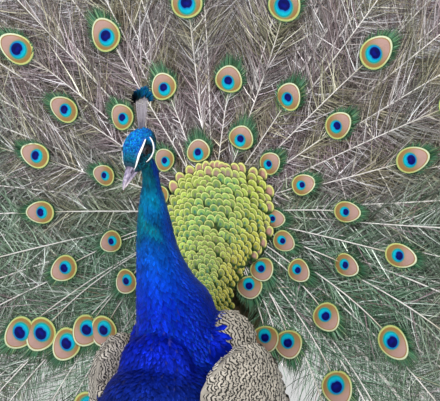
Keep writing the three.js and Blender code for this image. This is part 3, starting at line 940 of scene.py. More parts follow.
def scale_roots():
    """Rows of [across, share, gap]: staggered rows up the shield, with a little drift."""
    random = np.random.default_rng(SCALE_SEED)
    height = SHIELD_TOP - SHIELD_BOTTOM
    rows, share, odd = [], 0.015, 0
    while share < 0.915:
        gap = lerp(*SCALE_GAP, float(smoothstep(share, 0.1, 0.85)))
        half = float(shield_half_width(np.array(share)))
        step = gap * 1.12 / half
        for across in np.arange(-0.9 + 0.5 * step * (odd % 2), 0.93, step):
            drift = random.normal(size=2) * 0.15
            bow = 0.045 * (1 - across**2) * share
            rows.append((across + drift[0] * step, share + bow + drift[1] * gap / height, gap))
        share += gap * 0.8 / height
        odd += 1
    return np.array(rows)


def scale_colours(places, across, share, rim, random):
    """The main colour and the heart's colour of each scale."""
    hue = noise(places, 60, 12)
    middle = smoothstep(np.abs(across), 0.75, 0.2) * smoothstep(share, 0.2, 0.5)
    right = smoothstep(across, 0.0, 0.8) * smoothstep(share, 0.85, 0.4)
    main = blend_colours("#93ab48", "#6f9c58", 0.8 * middle)
    main = blend_colours(main, "#b3a93c", 0.3 * hue)
    main = blend_colours(main, "#b9a53a", 0.7 * right)
    main = main * (1.14 + 0.2 * random.normal(size=(len(across), 1)))
    main = blend_colours(main, "#cfcb72", 0.7 * rim)
    heart = blend_colours("#3f7a62", "#847a5c", np.clip(hue * 1.3 - 0.2, 0, 1))
    return main.clip(0, 1), blend_colours(heart, "#b08676", rim).clip(0, 1)


def rows_of_scales():
    across, share, gap = scale_roots().T
    random = np.random.default_rng(SCALE_SEED + 1)
    count = len(gap)
    places = shield_place(across, share, lift=0.5)
    focus = np.array(SCALE_FOCUS)
    turn = np.arctan2(places[:, 0] - focus[0], places[:, 2] - focus[1])
    turn = turn + np.radians(9) * random.normal(size=count)
    way = np.stack([np.sin(turn), np.cos(turn)], -1)
    rim = smoothstep(np.maximum(np.abs(across) - 0.84, (share - 0.87) * 1.8), 0.0, 0.1)
    rim = rim * smoothstep(share, 0.3, 0.5)
    grid, half, tris = vane_pattern(6, 6, fan_vane)
    length = gap * 2.0 * (1 + 0.06 * random.normal(size=count)) * (1 + 0.15 * rim)
    width = gap * 1.78 * (1 + 0.05 * random.normal(size=count))
    along = grid[:, 1][None] * length[:, None]
    aside = (grid[:, 0] * half)[None] * width[:, None] / 2
    x = places[:, 0, None] + way[:, 0, None] * along + way[:, 1, None] * aside
    z = places[:, 2, None] + way[:, 1, None] * along - way[:, 0, None] * aside
    cup = 0.12 * width[:, None] * (grid[:, 0] ** 2 * half)[None]
    rise = (0.6 + 3.0 * grid[:, 1] - 0.8 * grid[:, 1] ** 2)[None] * (gap / 9)[:, None]
    y = places[:, 1, None] - rise + cup + 0.3 * random.normal(size=count)[:, None]
    main, heart = scale_colours(places, across, share, rim, random)
    size = len(grid)
    bake = (places[:, [0, 2]] - SCALE_BAKE_CORNER) / SCALE_BAKE_SIZE
    local = np.stack([0.5 + 0.5 * grid[:, 0] * half, grid[:, 1]], -1)
    shade = np.broadcast_to(main[:, None], (count, size, 3))
    piece = copies("shield_scales", np.stack([x, y, z], -1), tris[:, ::-1], local, bake, shade)
    colours = np.ones((count, size, 4), np.float32)
    colours[:, :, :3] = heart[:, None]
    colours[:, :, 3] = rim[:, None]
    layer = piece.data.color_attributes.new("Heart", "FLOAT_COLOR", "POINT")
    layer.data.foreach_set("color", colours.ravel())
    return piece


def fan_vane(along):
    """The half width of a scale: a root that opens to a broad round tip."""
    return (0.6 + 0.4 * smoothstep(along, 0.0, 0.5)) * round_end(along, 0.5, 0.5, 0.1)


scales = rows_of_scales()
print("scales:", len(scales.data.polygons), "faces")

# %% [markdown]
# The train is about two hundred long feathers that fan out from one centre on a shallow dish. It is
# easiest to draw them flat, as a wheel seen from the front, and then to give every point the dish's
# depth. The fan's numbers are those of the CAD solids.

# %% The dish of the train
FAN_CENTRE = (0, 120, 632)
FAN_RADIUS = 1150.0
FAN_LIMIT, FAN_FULL, FAN_SHORTEST = 160.0, 106.0, 235.0
FAN_LEAN, FAN_BOWL, FAN_SIDE_BOWL = 0.1, 205.0, 70.0
FRONT_LAYER = 24.0


def fan_reach(angle):
    """How far the longest feathers reach at an angle in degrees from upright."""
    return lerp(FAN_RADIUS, FAN_SHORTEST, smoothstep(np.abs(angle), FAN_FULL, FAN_LIMIT))


def on_dish(x, z, offset):
    """Places in the bird's frame, from flat places on the wheel and an offset towards the back."""
    square = np.maximum(x * x + z * z, 1e-6)
    far = square / FAN_RADIUS**2
    side = x * x / square
    depth = FAN_LEAN * np.sqrt(square) - (FAN_BOWL + FAN_SIDE_BOWL * side) * far
    return np.stack([x, FAN_CENTRE[1] + depth + offset, FAN_CENTRE[2] + z], -1)


def layer_of(reach):
    """Shorter feathers lie in front of longer ones."""
    return -FRONT_LAYER * (1 - np.asarray(reach, float) / FAN_RADIUS) - 1.0


print("the train reaches", fan_reach(0), "mm up and", fan_reach(150).round(), "mm low at the sides")

# %% [markdown]
# Each feather is known by where its eye spot sits: an angle from upright and a reach from the centre.
# The inner rings are irregular, so they are listed. Outside them the spots follow rings about 90 mm
# apart, each shifted by half a step from the last. The longest feathers at the rim have no eye spot and
# end in a fish tail.

# %% Where the eye spots sit
INNER_SPOTS = [
    (-157, 99), (-134, 85), (-106, 96), (-76, 84), (-47, 101), (-14, 86), (23, 113), (51, 113),
    (72, 144), (92, 95), (107, 114), (119, 149), (134, 106), (150, 114),
    (-150, 181), (-127, 172), (-107, 168), (-76, 177), (-49, 190), (-25, 186), (7, 183), (35, 197),
    (56, 225), (87, 201), (107, 209), (128, 216), (147, 207), (155, 186),
    (-153, 255), (-135, 248), (-131, 269), (-130, 308), (-124, 334), (-121, 363), (-93, 276),
    (-111, 255), (-77, 291), (-61, 271), (-36, 292), (-9, 289), (20, 304), (47, 329), (74, 307),
    (99, 282), (121, 313), (141, 294),
]
RING_FIRST, RING_STEP, RING_COUNT = 400.0, 92.0, 8
SPOT_GAP = 66.0
RIM_GAP = 52.0
RIM_FEATHERS = 52
TRAIN_SEED = 41


def on_wheel(angle, reach):
    """A flat place on the wheel, from an angle in degrees and a reach."""
    return reach * np.array([math.sin(math.radians(angle)), math.cos(math.radians(angle))])


def spot_table():
    """Rows of [angle, reach, kind] with kind 1 for an eye spot and 0 for a fish tail."""
    random = np.random.default_rng(TRAIN_SEED)
    rows = [(a, r, 1) for a, r in INNER_SPOTS]
    for ring in range(RING_COUNT):
        count = 13 + ring
        for i in range(count):
            angle = (i + 0.25 + 0.5 * (ring % 2)) / count * 2 * (FAN_LIMIT - 4) - (FAN_LIMIT - 4)
            angle += random.normal() * 1.3
            reach = RING_FIRST + RING_STEP * ring + random.normal() * 16
            reach = min(reach, fan_reach(angle) - RIM_GAP)
            if reach < RING_FIRST - 120:
                continue
            spot = on_wheel(angle, reach)
            if min(np.linalg.norm(spot - on_wheel(a, r)) for a, r, _ in rows) > SPOT_GAP:
                rows.append((angle, reach, 1))
    for i in range(RIM_FEATHERS):
        angle = (i + 0.5) / RIM_FEATHERS * 2 * (FAN_LIMIT - 3) - (FAN_LIMIT - 3)
        rows.append((angle + random.normal() * 0.8, fan_reach(angle) - 46, 0))
    return np.array(rows)


spots = spot_table()
print("train feathers:", len(spots), "with", int(spots[:, 2].sum()), "eye spots")

# %% [markdown]
# A feather's path runs from the root out to its eye spot. The low ones droop a little, so their paths
# start higher than they end.


# %% Paths of the feathers
def droop(angle):
    return 9.0 * smoothstep(np.abs(angle), 80, 150) * np.sign(angle)


def path_place(feather, reach):
    """Flat places on the wheel along one feather, with the unit direction there."""
    angle, end, _ = spots[feather]
    share = np.asarray(reach, float) / end
    sway = 1.1 * math.sin(feather * 2.4) * share * (1 - share) * 4
    turn = np.radians(angle - droop(angle) * (1 - share**2) + sway)
    place = np.stack([reach * np.sin(turn), reach * np.cos(turn)], -1)
    way = unit(np.gradient(place, axis=0)) if len(place) > 1 else place
    return place, way


def spot_size(reach):
    """Half width and half length of an eye spot in millimetres."""
    share = smoothstep(reach, 80, 420)
    return lerp(16.0, 22.0, share), lerp(13.5, 25.0, share)


print("spot sizes:", [tuple(np.round(spot_size(r), 1)) for r in (90, 190, 900)])

# %% [markdown]
# The shafts are ivory-white, three-sided and tapering. Each is swept along its path.

# %% Shafts
SHAFT_STATIONS = 15
SHAFT_START = 56.0


def shaft_arrays(feather):
    angle, end, kind = spots[feather]
    stop = end - (0.55 * spot_size(end)[1] if kind else 0)
    reach = np.linspace(SHAFT_START, stop, SHAFT_STATIONS)
    place, way = path_place(feather, reach)
    radius = lerp(1.5, 0.45, (reach - SHAFT_START) / (FAN_RADIUS - SHAFT_START))
    radius = radius * lerp(0.62, 1.0, smoothstep(end, 100, 700))
    side = np.stack([way[:, 1], -way[:, 0]], -1)
    offset = layer_of(end) + lerp(-0.5, -2.4, smoothstep(abs(angle), 80, 110))
    corners = []
    for across, deep in ((-1, 0.5), (0, -1.1), (1, 0.5)):
        flat = place + side * (across * radius)[:, None]
        corners.append(on_dish(flat[:, 0], flat[:, 1], offset + deep * radius))
    return np.stack(corners, 1)


def shaft_tris():
    tris = []
    for i in range(SHAFT_STATIONS - 1):
        for k in range(3):
            a, b = i * 3 + k, i * 3 + (k + 1) % 3
            tris += [(a, b, b + 3), (a, b + 3, a + 3)]
    tip = (SHAFT_STATIONS - 1) * 3
    return np.array(tris + [(tip, tip + 1, tip + 2), (0, 2, 1)])


def make_shafts():
    verts = np.array([shaft_arrays(i).reshape(-1, 3) for i in range(len(spots))])
    count, size = verts.shape[:2]
    flat = verts[:, :, [0, 2]]
    base = (flat - flat.min((0, 1))) / (flat.max((0, 1)) - flat.min((0, 1)))
    local = np.zeros((size, 2))
    local[:, 0] = np.tile([0, 0.5, 1], SHAFT_STATIONS)
    local[:, 1] = np.repeat(np.linspace(0, 1, SHAFT_STATIONS), 3)
    return joined_mesh(
        "train_shafts", to_scene(verts), repeated(shaft_tris(), count, size),
        vane=np.broadcast_to(local[None], (count, size, 2)),
        bake=base * (1 - PATCH) + (local[None] - 0.5) * PATCH * 0.5 + PATCH * 0.5,
    )


shafts = make_shafts()
print("shafts:", len(shafts.data.polygons), "faces")

# %% [markdown]
# The barbs of a train feather are loose. Each is a thin tapering strip of five triangles that leaves the
# shaft at about fifty degrees and curves on towards the tip. They cross over their neighbours in bronze,
# mauve and green, so each gets its own shade, lift and twist; the palest shades, up to near white, are
# painted glints.

# %% Barbs
BARB_PLACES = np.array([0.0, 0.34, 0.7, 1.0])
BARB_WIDTHS = np.array([1.0, 0.9, 0.55, 0.0])
BARB_TRIS = np.array([[0, 2, 3], [0, 3, 1], [2, 4, 5], [2, 5, 3], [4, 6, 5]])
BARB_STEP = 2.0
BARB_WIDTH = 0.85


def barb_strips(base, way, side, length, splay, bend, offset, lift, twist, width):
    """Strips as (count, 7, 3) places. base and way are flat; side is 1 or -1 for each barb."""
    t = BARB_PLACES[None, :, None]
    outward = np.stack([way[:, 1], -way[:, 0]], -1) * side[:, None]
    start = way * np.cos(splay)[:, None] + outward * np.sin(splay)[:, None]
    drift = start[:, None] * t + way[:, None] * (bend[:, None, None] * t * t)
    curve = base[:, None] + length[:, None, None] * drift
    ahead = unit(start[:, None] + way[:, None] * (2 * bend[:, None, None] * t))
    left = np.stack([-ahead[:, :, 1], ahead[:, :, 0]], -1)
    half = (width[:, None] * BARB_WIDTHS[None] / 2)[:, :, None]
    depth = offset[:, None] - lift[:, None] * (BARB_PLACES * (1.6 - 0.6 * BARB_PLACES))[None]
    tilt = twist[:, None] * half[:, :, 0]
    right_flat, left_flat = curve - left * half, curve + left * half
    right = on_dish(right_flat[..., 0], right_flat[..., 1], depth - tilt)
    leftward = on_dish(left_flat[..., 0], left_flat[..., 1], depth + tilt)
    pairs = np.stack([right[:, :3], leftward[:, :3]], 2).reshape(len(base), 6, 3)
    return np.concatenate([pairs, right[:, 3:]], 1)


def barb_length(reach, end, kind):
    """Barbs are short at the base, longest in the middle, and shorter again beside the eye spot."""
    share = reach / end
    length = lerp(26, 62, smoothstep(reach, 40, 260)) + 30 * smoothstep(reach, 450, 850)
    length = length * lerp(0.62, 1.0, smoothstep(end, 90, 420))
    if kind:
        return length * lerp(1.0, 0.5, smoothstep(share, 0.78, 1.0))
    return length * lerp(1.0, 0.5, smoothstep(share, 0.86, 1.0))


# The two palest steps of each row, up to near white, are painted sheen and glints on single barbs; the
# darker steps are the barbs' own tones.
MAUVE = ["#4a3c40", "#7a656b", "#a08c93", "#c8bac2", "#fbf6fb"]
BRONZE = ["#3f382a", "#6d634c", "#978c6c", "#c4bb98", "#efe9cf"]
GREEN = ["#1f3527", "#45694f", "#6f9478", "#a0bba8", "#e6f0e8"]
GREEN_SHARE = 0.92
EMERALD = ["#1c4a30", "#2f7a50", "#5f9e5c", "#8fae6a"]


def barb_shades(flat, distance, random):
    """Root, middle and tip colours of barbs, by where they are and how near their eye spot is."""
    count = len(flat)
    angle = np.degrees(np.arctan2(flat[:, 0], flat[:, 1]))
    places = np.stack([flat[:, 0], flat[:, 1], 0 * flat[:, 0]], -1)
    low = smoothstep(np.abs(angle) + 40 * (noise(places, 150, 7) - 0.5), 65, 120)
    # barbs with a high pick take the pale steps: painted glints
    pick = random.random(count)
    shares = [0, 0.3, 0.68, 0.9, 1]
    mix = noise(places + 500, 45, 9)
    upper = blend_colours(
        stops(pick, shares, MAUVE), stops(pick, shares, BRONZE), smoothstep(mix, 0.45, 0.75) * 0.85
    )
    near = smoothstep(np.hypot(flat[:, 0], flat[:, 1]), 480, 160)
    leaf = 0.02 + 0.3 * noise(places + 900, 60, 14) + (0.5 + 0.4 * near) * low
    leaf = leaf * (random.random(count) < GREEN_SHARE)
    colour = blend_colours(upper, stops(pick, shares, GREEN), leaf.clip(0, 1))
    halo = smoothstep(distance, 50, 10)
    emerald = stops(random.random(count), [0, 0.45, 0.8, 1], EMERALD)
    root = blend_colours(colour, emerald, halo * 0.9)
    middle = blend_colours(colour, emerald, halo * 0.75)
    tip = blend_colours(colour * 0.9, "#8f8a55", halo * 0.5)
    return np.stack([root, root, middle, middle, tip, tip, tip], 1)


def feather_barbs(feather, random):
    """The barbs of one feather. About one in four runs across the others."""
    _, end, kind = spots[feather]
    stop = end + (0.1 * spot_size(end)[1] if kind else 4)
    reach = np.arange(SHAFT_START + 4, stop, BARB_STEP)
    reach = reach + random.random(len(reach)) * BARB_STEP * 0.7
    reach = np.repeat(reach, 2)
    side = np.tile([1.0, -1.0], len(reach) // 2)
    place, _ = path_place(feather, reach)
    ahead, _ = path_place(feather, reach + 1.0)
    way = unit(ahead - place)
    count = len(reach)
    length = barb_length(reach, end, kind) * (1 + 0.25 * random.normal(size=count)).clip(0.4, 1.6)
    wander = 12 * np.sin(reach / 70 + random.random() * 7)
    stray = np.where(random.random(count) < 0.25, 26.0, 0.0) * np.sign(random.normal(size=count))
    splay = np.radians(50 + wander + stray + 12 * random.normal(size=count))
    splay = splay * lerp(1.0, 0.7, smoothstep(reach / end, 0.88, 1.0))
    bend = -0.05 + 0.5 * random.random(count)
    offset = np.full(count, float(layer_of(end))) - 0.4
    lift = 3.0 * random.random(count)
    twist = 0.8 * random.normal(size=count)
    width = BARB_WIDTH * (0.7 + 0.6 * random.random(count))
    strips = barb_strips(place, way, side, length, splay, bend, offset, lift, twist, width)
    return strips, barb_shades(place, end - reach if kind else np.full(count, 60.0), random)


print("longest barbs:", round(float(barb_length(500, 900, 1)), 1), "mm")

# %% [markdown]
# An eye spot is an egg-shaped disc of fine barbs held close together, narrow towards the tip. Its disc
# is a few rings of triangles, and the shader draws the bands. The attribute Coat keeps how far out each
# vertex is, from 0 in the middle to 1 at the edge.

# %% Eye spots
SPOT_RINGS, SPOT_SIDES = 4, 28
SPOT_TAPER, SPOT_SPAN = 0.17, 1.3


def egg(turn):
    """The unit egg: across and along, for directions from the tip round."""
    return np.sin(turn) * (1 - SPOT_TAPER * np.cos(turn)), np.cos(turn)


def spot_pattern():
    """Across, along and distance out of each vertex of a disc, with its triangles."""
    turn = np.arange(SPOT_SIDES) / SPOT_SIDES * 2 * math.pi
    rows = [(0.0, 0.0, 0.0)]
    for ring in range(1, SPOT_RINGS + 1):
        share = ring / SPOT_RINGS
        across, along = egg(turn)
        rows += list(zip(across * share, along * share, np.full(SPOT_SIDES, share)))
    tris = [(0, 1 + (k + 1) % SPOT_SIDES, 1 + k) for k in range(SPOT_SIDES)]
    for ring in range(1, SPOT_RINGS):
        for k in range(SPOT_SIDES):
            a = 1 + (ring - 1) * SPOT_SIDES + k
            b = 1 + (ring - 1) * SPOT_SIDES + (k + 1) % SPOT_SIDES
            tris += [(a, b, b + SPOT_SIDES), (a, b + SPOT_SIDES, a + SPOT_SIDES)]
    return np.array(rows), np.array(tris)


def spot_frames():
    """Middle, direction, half width and half length of each eye spot."""
    frames = []
    for i in np.flatnonzero(spots[:, 2] == 1):
        end = spots[i, 1]
        place, _ = path_place(i, np.array([end - 1.0, end]))
        way = unit(place[1] - place[0])
        wide, long = spot_size(end)
        frames.append((*place[1], *way, wide * lerp(1.2, 0.8, way[0] ** 2), long * 1.16, end))
    return np.array(frames)


frames = spot_frames()


def make_spots():
    pattern, tris = spot_pattern()
    count, size = len(frames), len(pattern)
    random = np.random.default_rng(TRAIN_SEED + 5)
    x, z, way_x, way_z, wide, long, end = frames.T
    across = pattern[:, 0][None] * wide[:, None]
    along = pattern[:, 1][None] * long[:, None]
    flat_x = x[:, None] + way_x[:, None] * along + way_z[:, None] * across
    flat_z = z[:, None] + way_z[:, None] * along - way_x[:, None] * across
    dome = 1.6 * (1 - pattern[:, 2] ** 2)
    tip = random.normal(size=(2, count)) * 0.05
    lean = tip[0][:, None] * across + tip[1][:, None] * along
    verts = on_dish(flat_x, flat_z, (layer_of(end) - 4.4)[:, None] - dome[None] + lean)
    coat = np.zeros((count, size, 3))
    coat[:, :, 0] = pattern[:, 2][None]
    coat[:, :, 1] = random.random(count)[:, None]
    coat[:, :, 2] = smoothstep(end, 420, 80)[:, None]
    columns = int(math.ceil(math.sqrt(count)))
    cell = np.stack([np.arange(count) % columns, np.arange(count) // columns], -1) / columns
    local = np.stack([across / wide[:, None], along / wide[:, None]], -1)
    vane = 0.5 + 0.5 * local / SPOT_SPAN
    return joined_mesh(
        "train_spots", to_scene(verts), repeated(tris, count, size), vane=vane,
        bake=cell[:, None] + (0.03 + 0.94 * vane) / columns, coat=coat,
    )


eye_spots = make_spots()
print("eye spots:", len(eye_spots.data.polygons), "faces")

# %% [markdown]
# Round each spot the barbs go on as a soft green fringe, longest past the tip, where it makes a point.

# %% Fringes of the eye spots
FRINGE_COUNT = 150


def spot_fringe(index, random):
    x, z, way_x, way_z, wide, long, end = frames[index]
    count = FRINGE_COUNT
    turn = (np.arange(count) + random.random(count)) / count * 2 * math.pi
    across, along = egg(turn)
    way, right = np.array([way_x, way_z]), np.array([way_z, -way_x])
    base = 0.9 * (across * wide)[:, None] * right + 0.9 * (along * long)[:, None] * way
    base = base + np.array([x, z])
    out = unit(across[:, None] * right + along[:, None] * way)
    out = unit(out + way * (0.7 + 0.25 * random.normal(size=count))[:, None])
    tipward = np.cos(turn)
    length = (lerp(5.0, 12.0, smoothstep(tipward, -0.8, 0.5)) + 10 * smoothstep(tipward, 0.6, 1.0))
    length = length * (wide / 19) * (0.7 + 0.45 * random.random(count))
    side = np.where(across > 0, 1.0, -1.0)
    zero = np.zeros(count)
    offset = np.full(count, float(layer_of(end)) - 2.6) + 1.4 * random.random(count)
    strips = barb_strips(
        base, out, side, length, zero, zero, offset, 1.2 * random.random(count),
        0.6 * random.normal(size=count), 1.45 * (0.7 + 0.6 * random.random(count)),
    )
    pick = random.random(count)
    green = stops(pick, [0, 0.6, 0.9, 1], ["#1b4730", "#2d6848", "#4c8058", "#7f9a6c"])
    root = blend_colours("#7d8c5c", green, 0.7)
    tip = blend_colours(green, "#56604c", 0.5)
    return strips, np.stack([root, root, green, green, tip, tip, tip], 1)


SECTOR_PIECES = 7


def make_barbs():
    """Every barb and fringe, joined into one piece for each seventh of the fan."""
    random = np.random.default_rng(TRAIN_SEED + 9)
    sector = (spots[:, 0] + FAN_LIMIT) / (2 * FAN_LIMIT) * SECTOR_PIECES
    sector = sector.astype(int).clip(0, SECTOR_PIECES - 1)
    groups = [[] for _ in range(SECTOR_PIECES)]
    for i in range(len(spots)):
        groups[sector[i]].append(feather_barbs(i, random))
    for k, i in enumerate(np.flatnonzero(spots[:, 2] == 1)):
        groups[sector[i]].append(spot_fringe(k, random))
    local = np.array([[0, 0], [1, 0], [0, 0.33], [1, 0.33], [0, 0.7], [1, 0.7], [0.5, 1]])
    pieces = []
    for index, group in enumerate(groups):
        strips, shades = (np.concatenate(parts) for parts in zip(*group))
        base = flat_bake(strips[:, 0][:, [0, 2]])
        name = f"train_barbs_{index + 1}"
        pieces.append(copies(name, strips, BARB_TRIS, local, base, shades.clip(0, 1)))
    return pieces


barbs = make_barbs()
print("barbs:", [len(piece.data.polygons) for piece in barbs])

# %% [markdown]
# Shapes that bend along a line, such as toes, claws and the bill, are balls from
# `bmesh.ops.create_uvsphere` whose rings are threaded along a path.


# %% Threading a ball along a path
def threaded(name, path, radius, sides=16, rings=24, flatten=1.0, up=(0, 0, 1)):
    """A closed tube. path(share) gives places and radius(share) the half width. flatten thins it."""
    bm, share, cos, sin = ball(sides, rings)
    middle = path(share)
    ahead = unit(path(np.clip(share + 0.01, 0, 1)) - path(np.clip(share - 0.01, 0, 1)))
    side = unit(np.cross(ahead, np.array(up, float)))
    top = np.cross(side, ahead)
    size = radius(share)[:, None]
    points = middle + side * cos[:, None] * size + top * sin[:, None] * size * flatten
    placed(bm, points)
    return finished(name, bm, share, np.arctan2(sin, cos))


def finished(name, bm, share=None, turn=None):
    """A mesh object from a bmesh, smooth, with its length and turn kept in the map Vane."""
    mesh = bpy.data.meshes.new(name)
    if share is not None:
        layer = bm.loops.layers.uv.new("Vane")
        for face in bm.faces:
            for loop in face.loops:
                index = loop.vert.index
                loop[layer].uv = (turn[index] / (2 * math.pi) + 0.5, share[index])
    for face in bm.faces:
        face.smooth = True
    bm.to_mesh(mesh)
    bm.free()
    return new_object(name, mesh)


def merged(name, pieces):
    """One object out of several, by joining their meshes."""
    bm = bmesh.new()
    for piece in pieces:
        bm.from_mesh(piece.data)
        mesh = piece.data
        bpy.data.objects.remove(piece)
        bpy.data.meshes.remove(mesh)
    mesh = bpy.data.meshes.new(name)
    bm.to_mesh(mesh)
    bm.free()
    return new_object(name, mesh)


print("threading ready")

# %% [markdown]
# The bill is a slightly hooked horn, its upper half over its lower, with a slit of a nostril. Its rows
# are [y, middle height, half height, half width] in the head's frame.

# %% Bill
BILL_UPPER = [
    [-22, -3, 5.5, 6.5], [-31, -4, 6.2, 6.6], [-41, -4.2, 5.0, 4.6], [-50, -5.2, 3.6, 3.1],
    [-57, -7.0, 2.4, 2.0], [-62.5, -10.4, 0.6, 0.6],
]
BILL_LOWER = [
    [-18, -11.5, 2.6, 6], [-29, -12.0, 3.0, 5.8], [-41, -11.2, 2.3, 3.7], [-51, -10.9, 1.5, 2.3],
    [-57, -11.4, 0.5, 0.6],
]


def bill_half(name, rows):
    return finished(name, *loft(rows, LENGTHWISE, 28, 36, head=True))


bill_top = bill_half("horn_bill_upper", BILL_UPPER)
bill_under = bill_half("horn_bill_lower", BILL_LOWER)


def share_at(rows, y):
    """The share along rows of sections at which they reach y. Their y has to fall steadily."""
    shares = np.linspace(0, 1, 400)
    return np.interp(-y, -spline(rows, 0, shares), shares)


def bill_side(y, z):
    """How far the side of the upper bill is from the middle, at places [y, z] in the head's frame."""
    share = share_at(BILL_UPPER, y)
    height = (z - spline(BILL_UPPER, 1, share)) / spline(BILL_UPPER, 2, share)
    return spline(BILL_UPPER, 3, share) * np.sqrt(np.clip(1 - height**2, 0.02, 1))


def nostril(side):
    def path(share):
        y = lerp(-33.5, -41.0, share)
        z = lerp(-1.4, -3.4, share)
        return from_head(np.stack([side * (bill_side(y, z) - 0.25), y, z], -1))

    def radius(share):
        return 1.25 * np.sin(share * math.pi) ** 0.5

    return threaded("nostril", path, radius, sides=12, rings=12, flatten=0.55)


nostrils = merged("bill_nostrils", [nostril(1), nostril(-1)])
print("bill length:", round(BILL_UPPER[0][0] - BILL_UPPER[-1][0], 1), "mm")

# %% [markdown]
# The bare white brow and crescent are strips of skin with a slightly raised middle. They follow the side
# of the head, whose half width at any place comes from the head's own rows.

# %% Bare strips of the face
STRIP_ACROSS, STRIP_ALONG = 7, 22


def head_side(y, z, lift):
    """Places on the side of the head at [y, z] in its frame, raised by lift."""
    share = share_at(HEAD, y)
    height = (z - spline(HEAD, 1, share)) / (spline(HEAD, 2, share) + 1.0)
    wide = spline(HEAD, 3, share) * np.sqrt(np.clip(1 - height**2, 0.02, 1))
    return np.stack([wide + lift, y, z], -1)


def face_strip(line, side, width, lift, drop=0.0):
    line = np.array(line, float) - np.array([0.0, drop])
    run = np.concatenate([[0], np.cumsum(np.linalg.norm(np.diff(line, axis=0), axis=1))])
    along = np.linspace(0, run[-1], STRIP_ALONG)
    middle = np.stack([np.interp(along, run, line[:, 0]), np.interp(along, run, line[:, 1])], -1)
    for _ in range(3):
        middle[1:-1] = (middle[:-2] + 2 * middle[1:-1] + middle[2:]) / 4
    ahead = unit(np.gradient(middle, axis=0))
    across = np.stack([-ahead[:, 1], ahead[:, 0]], -1)
    share = along / run[-1]
    half = width / 2 * (0.25 + 0.75 * np.sin(np.clip(share * 1.05, 0, 1) * math.pi) ** 0.55)
    bm = bmesh.new()
    bmesh.ops.create_grid(bm, x_segments=STRIP_ACROSS - 1, y_segments=STRIP_ALONG - 1, size=0.5)
    flat = np.array([v.co for v in bm.verts])
    row = np.rint((flat[:, 1] + 0.5) * (STRIP_ALONG - 1)).astype(int)
    u = flat[:, 0] * 2
    spot = middle[row] + across[row] * (u * half[row])[:, None]
    rise = lift * (1 - u**4) - 0.6 * u**4
    points = head_side(spot[:, 0], spot[:, 1], rise)
    points[:, 0] *= side
    placed(bm, from_head(points))
    outward = from_head(np.array([[side * 30.0, -5, 4]]))[0] - HEAD_CENTRE
    bm.normal_update()
    if sum(np.dot(f.normal, outward) for f in bm.faces) < 0:
        bmesh.ops.reverse_faces(bm, faces=bm.faces)
    return finished(f"strip_{side}", bm, row / (STRIP_ALONG - 1), u)


face_strips = merged(
    "bare_white_skin",
    [face_strip(BROW, s, 2.1, 0.15, d) for s, d in ((1, 0.0), (-1, RIGHT_BROW_DROP))]
    + [face_strip(CRESCENT, s, 3.5, 0.35) for s in (1, -1)],
)
print("strips of bare skin:", len(face_strips.data.polygons), "faces")

# %% [markdown]
# The eye is a glossy brown ball set in dark bare skin, with a round black pupil. The pole of each ball
# looks outwards, so that the map Vane counts rings out from the pupil's middle. Two thick lids close
# over its edge.


# %% Eyes and lids
def eye_place(side):
    return from_head(EYE_PLACE * np.array([side, 1, 1]))


def eye_ball(side):
    bm = bmesh.new()
    bmesh.ops.create_uvsphere(bm, u_segments=32, v_segments=24, radius=EYE_RADIUS)
    places = np.array([v.co for v in bm.verts])
    share = np.arccos(np.clip(places[:, 2] / EYE_RADIUS, -1, 1)) / math.pi
    turn = np.arctan2(places[:, 1], places[:, 0])
    outward = HEAD_TURN @ unit(np.array([side * 1.0, -0.42, 0.1]))
    level = unit(np.cross(outward, [0, 0, 1.0]))
    points = (
        places[:, [0]] * level + places[:, [1]] * np.cross(outward, level) + places[:, [2]] * outward
    )
    placed(bm, points + eye_place(side))
    return finished(f"eye_ball_{side}", bm, share, turn)


LID_LONG, LID_HIGH, LID_THICK, LID_FLARE = 5.3, 4.4, 0.75, 1.3
SPIN_RADIUS = 4


def lid(side):
    """A closed ring of skin round the eye, made by spinning the ring's section."""
    bm = bmesh.new()
    ring = bmesh.ops.create_circle(bm, segments=10, radius=1.0, cap_ends=False)
    bmesh.ops.rotate(
        bm, verts=ring["verts"], cent=(0, 0, 0), matrix=Matrix.Rotation(math.pi / 2, 3, "X")
    )
    bmesh.ops.translate(bm, verts=ring["verts"], vec=(SPIN_RADIUS, 0, 0))
    bmesh.ops.spin(
        bm, geom=bm.verts[:] + bm.edges[:], cent=(0, 0, 0), axis=(0, 0, 1), angle=2 * math.pi,
        steps=36, use_merge=True, use_duplicate=False,
    )
    bmesh.ops.remove_doubles(bm, verts=bm.verts, dist=1e-5)
    places = np.array([v.co for v in bm.verts])
    turn = np.arctan2(places[:, 1], places[:, 0])
    out = np.hypot(places[:, 0], places[:, 1]) - SPIN_RADIUS
    y = EYE_PLACE[1] + np.cos(turn) * (LID_LONG + out * LID_THICK * LID_FLARE)
    z = EYE_PLACE[2] + np.sin(turn) * (LID_HIGH + out * LID_THICK * LID_FLARE)
    away = np.hypot(y - EYE_PLACE[1], z - EYE_PLACE[2])
    on_ball = np.sqrt(np.clip(EYE_RADIUS**2 - (away * 0.9) ** 2, 0, None))
    x = side * (EYE_PLACE[0] + on_ball + 0.2 + places[:, 2] * LID_THICK)
    placed(bm, from_head(np.stack([x, y, z], -1)))
    return finished(f"lid_{side}", bm, places[:, 2], turn)


eye_left, eye_right = eye_ball(1), eye_ball(-1)
lids = merged("eye_lids", [lid(1), lid(-1)])
print("lids:", len(lids.data.polygons), "faces")

# %% [markdown]
# The crest is a fan of 27 bare grey shafts with small green-blue tufts at their ends. The fan stands in
# the bird's middle plane.

# %% Crest
CREST_ROOT = np.array([0.0, -93.5, 758.0])
CREST_COUNT, CREST_LENGTH, CREST_ROW = 27, 46.0, 11.0
CREST_SPREAD, CREST_LEAN, CREST_SPLAY = 27.0, 2.0, 4.2
TUFT_BARBS, TUFT_REACH = 40, 11.5
CREST_SEED, TAIL_SEED, PRIMARY_SEED = 51, 61, 71


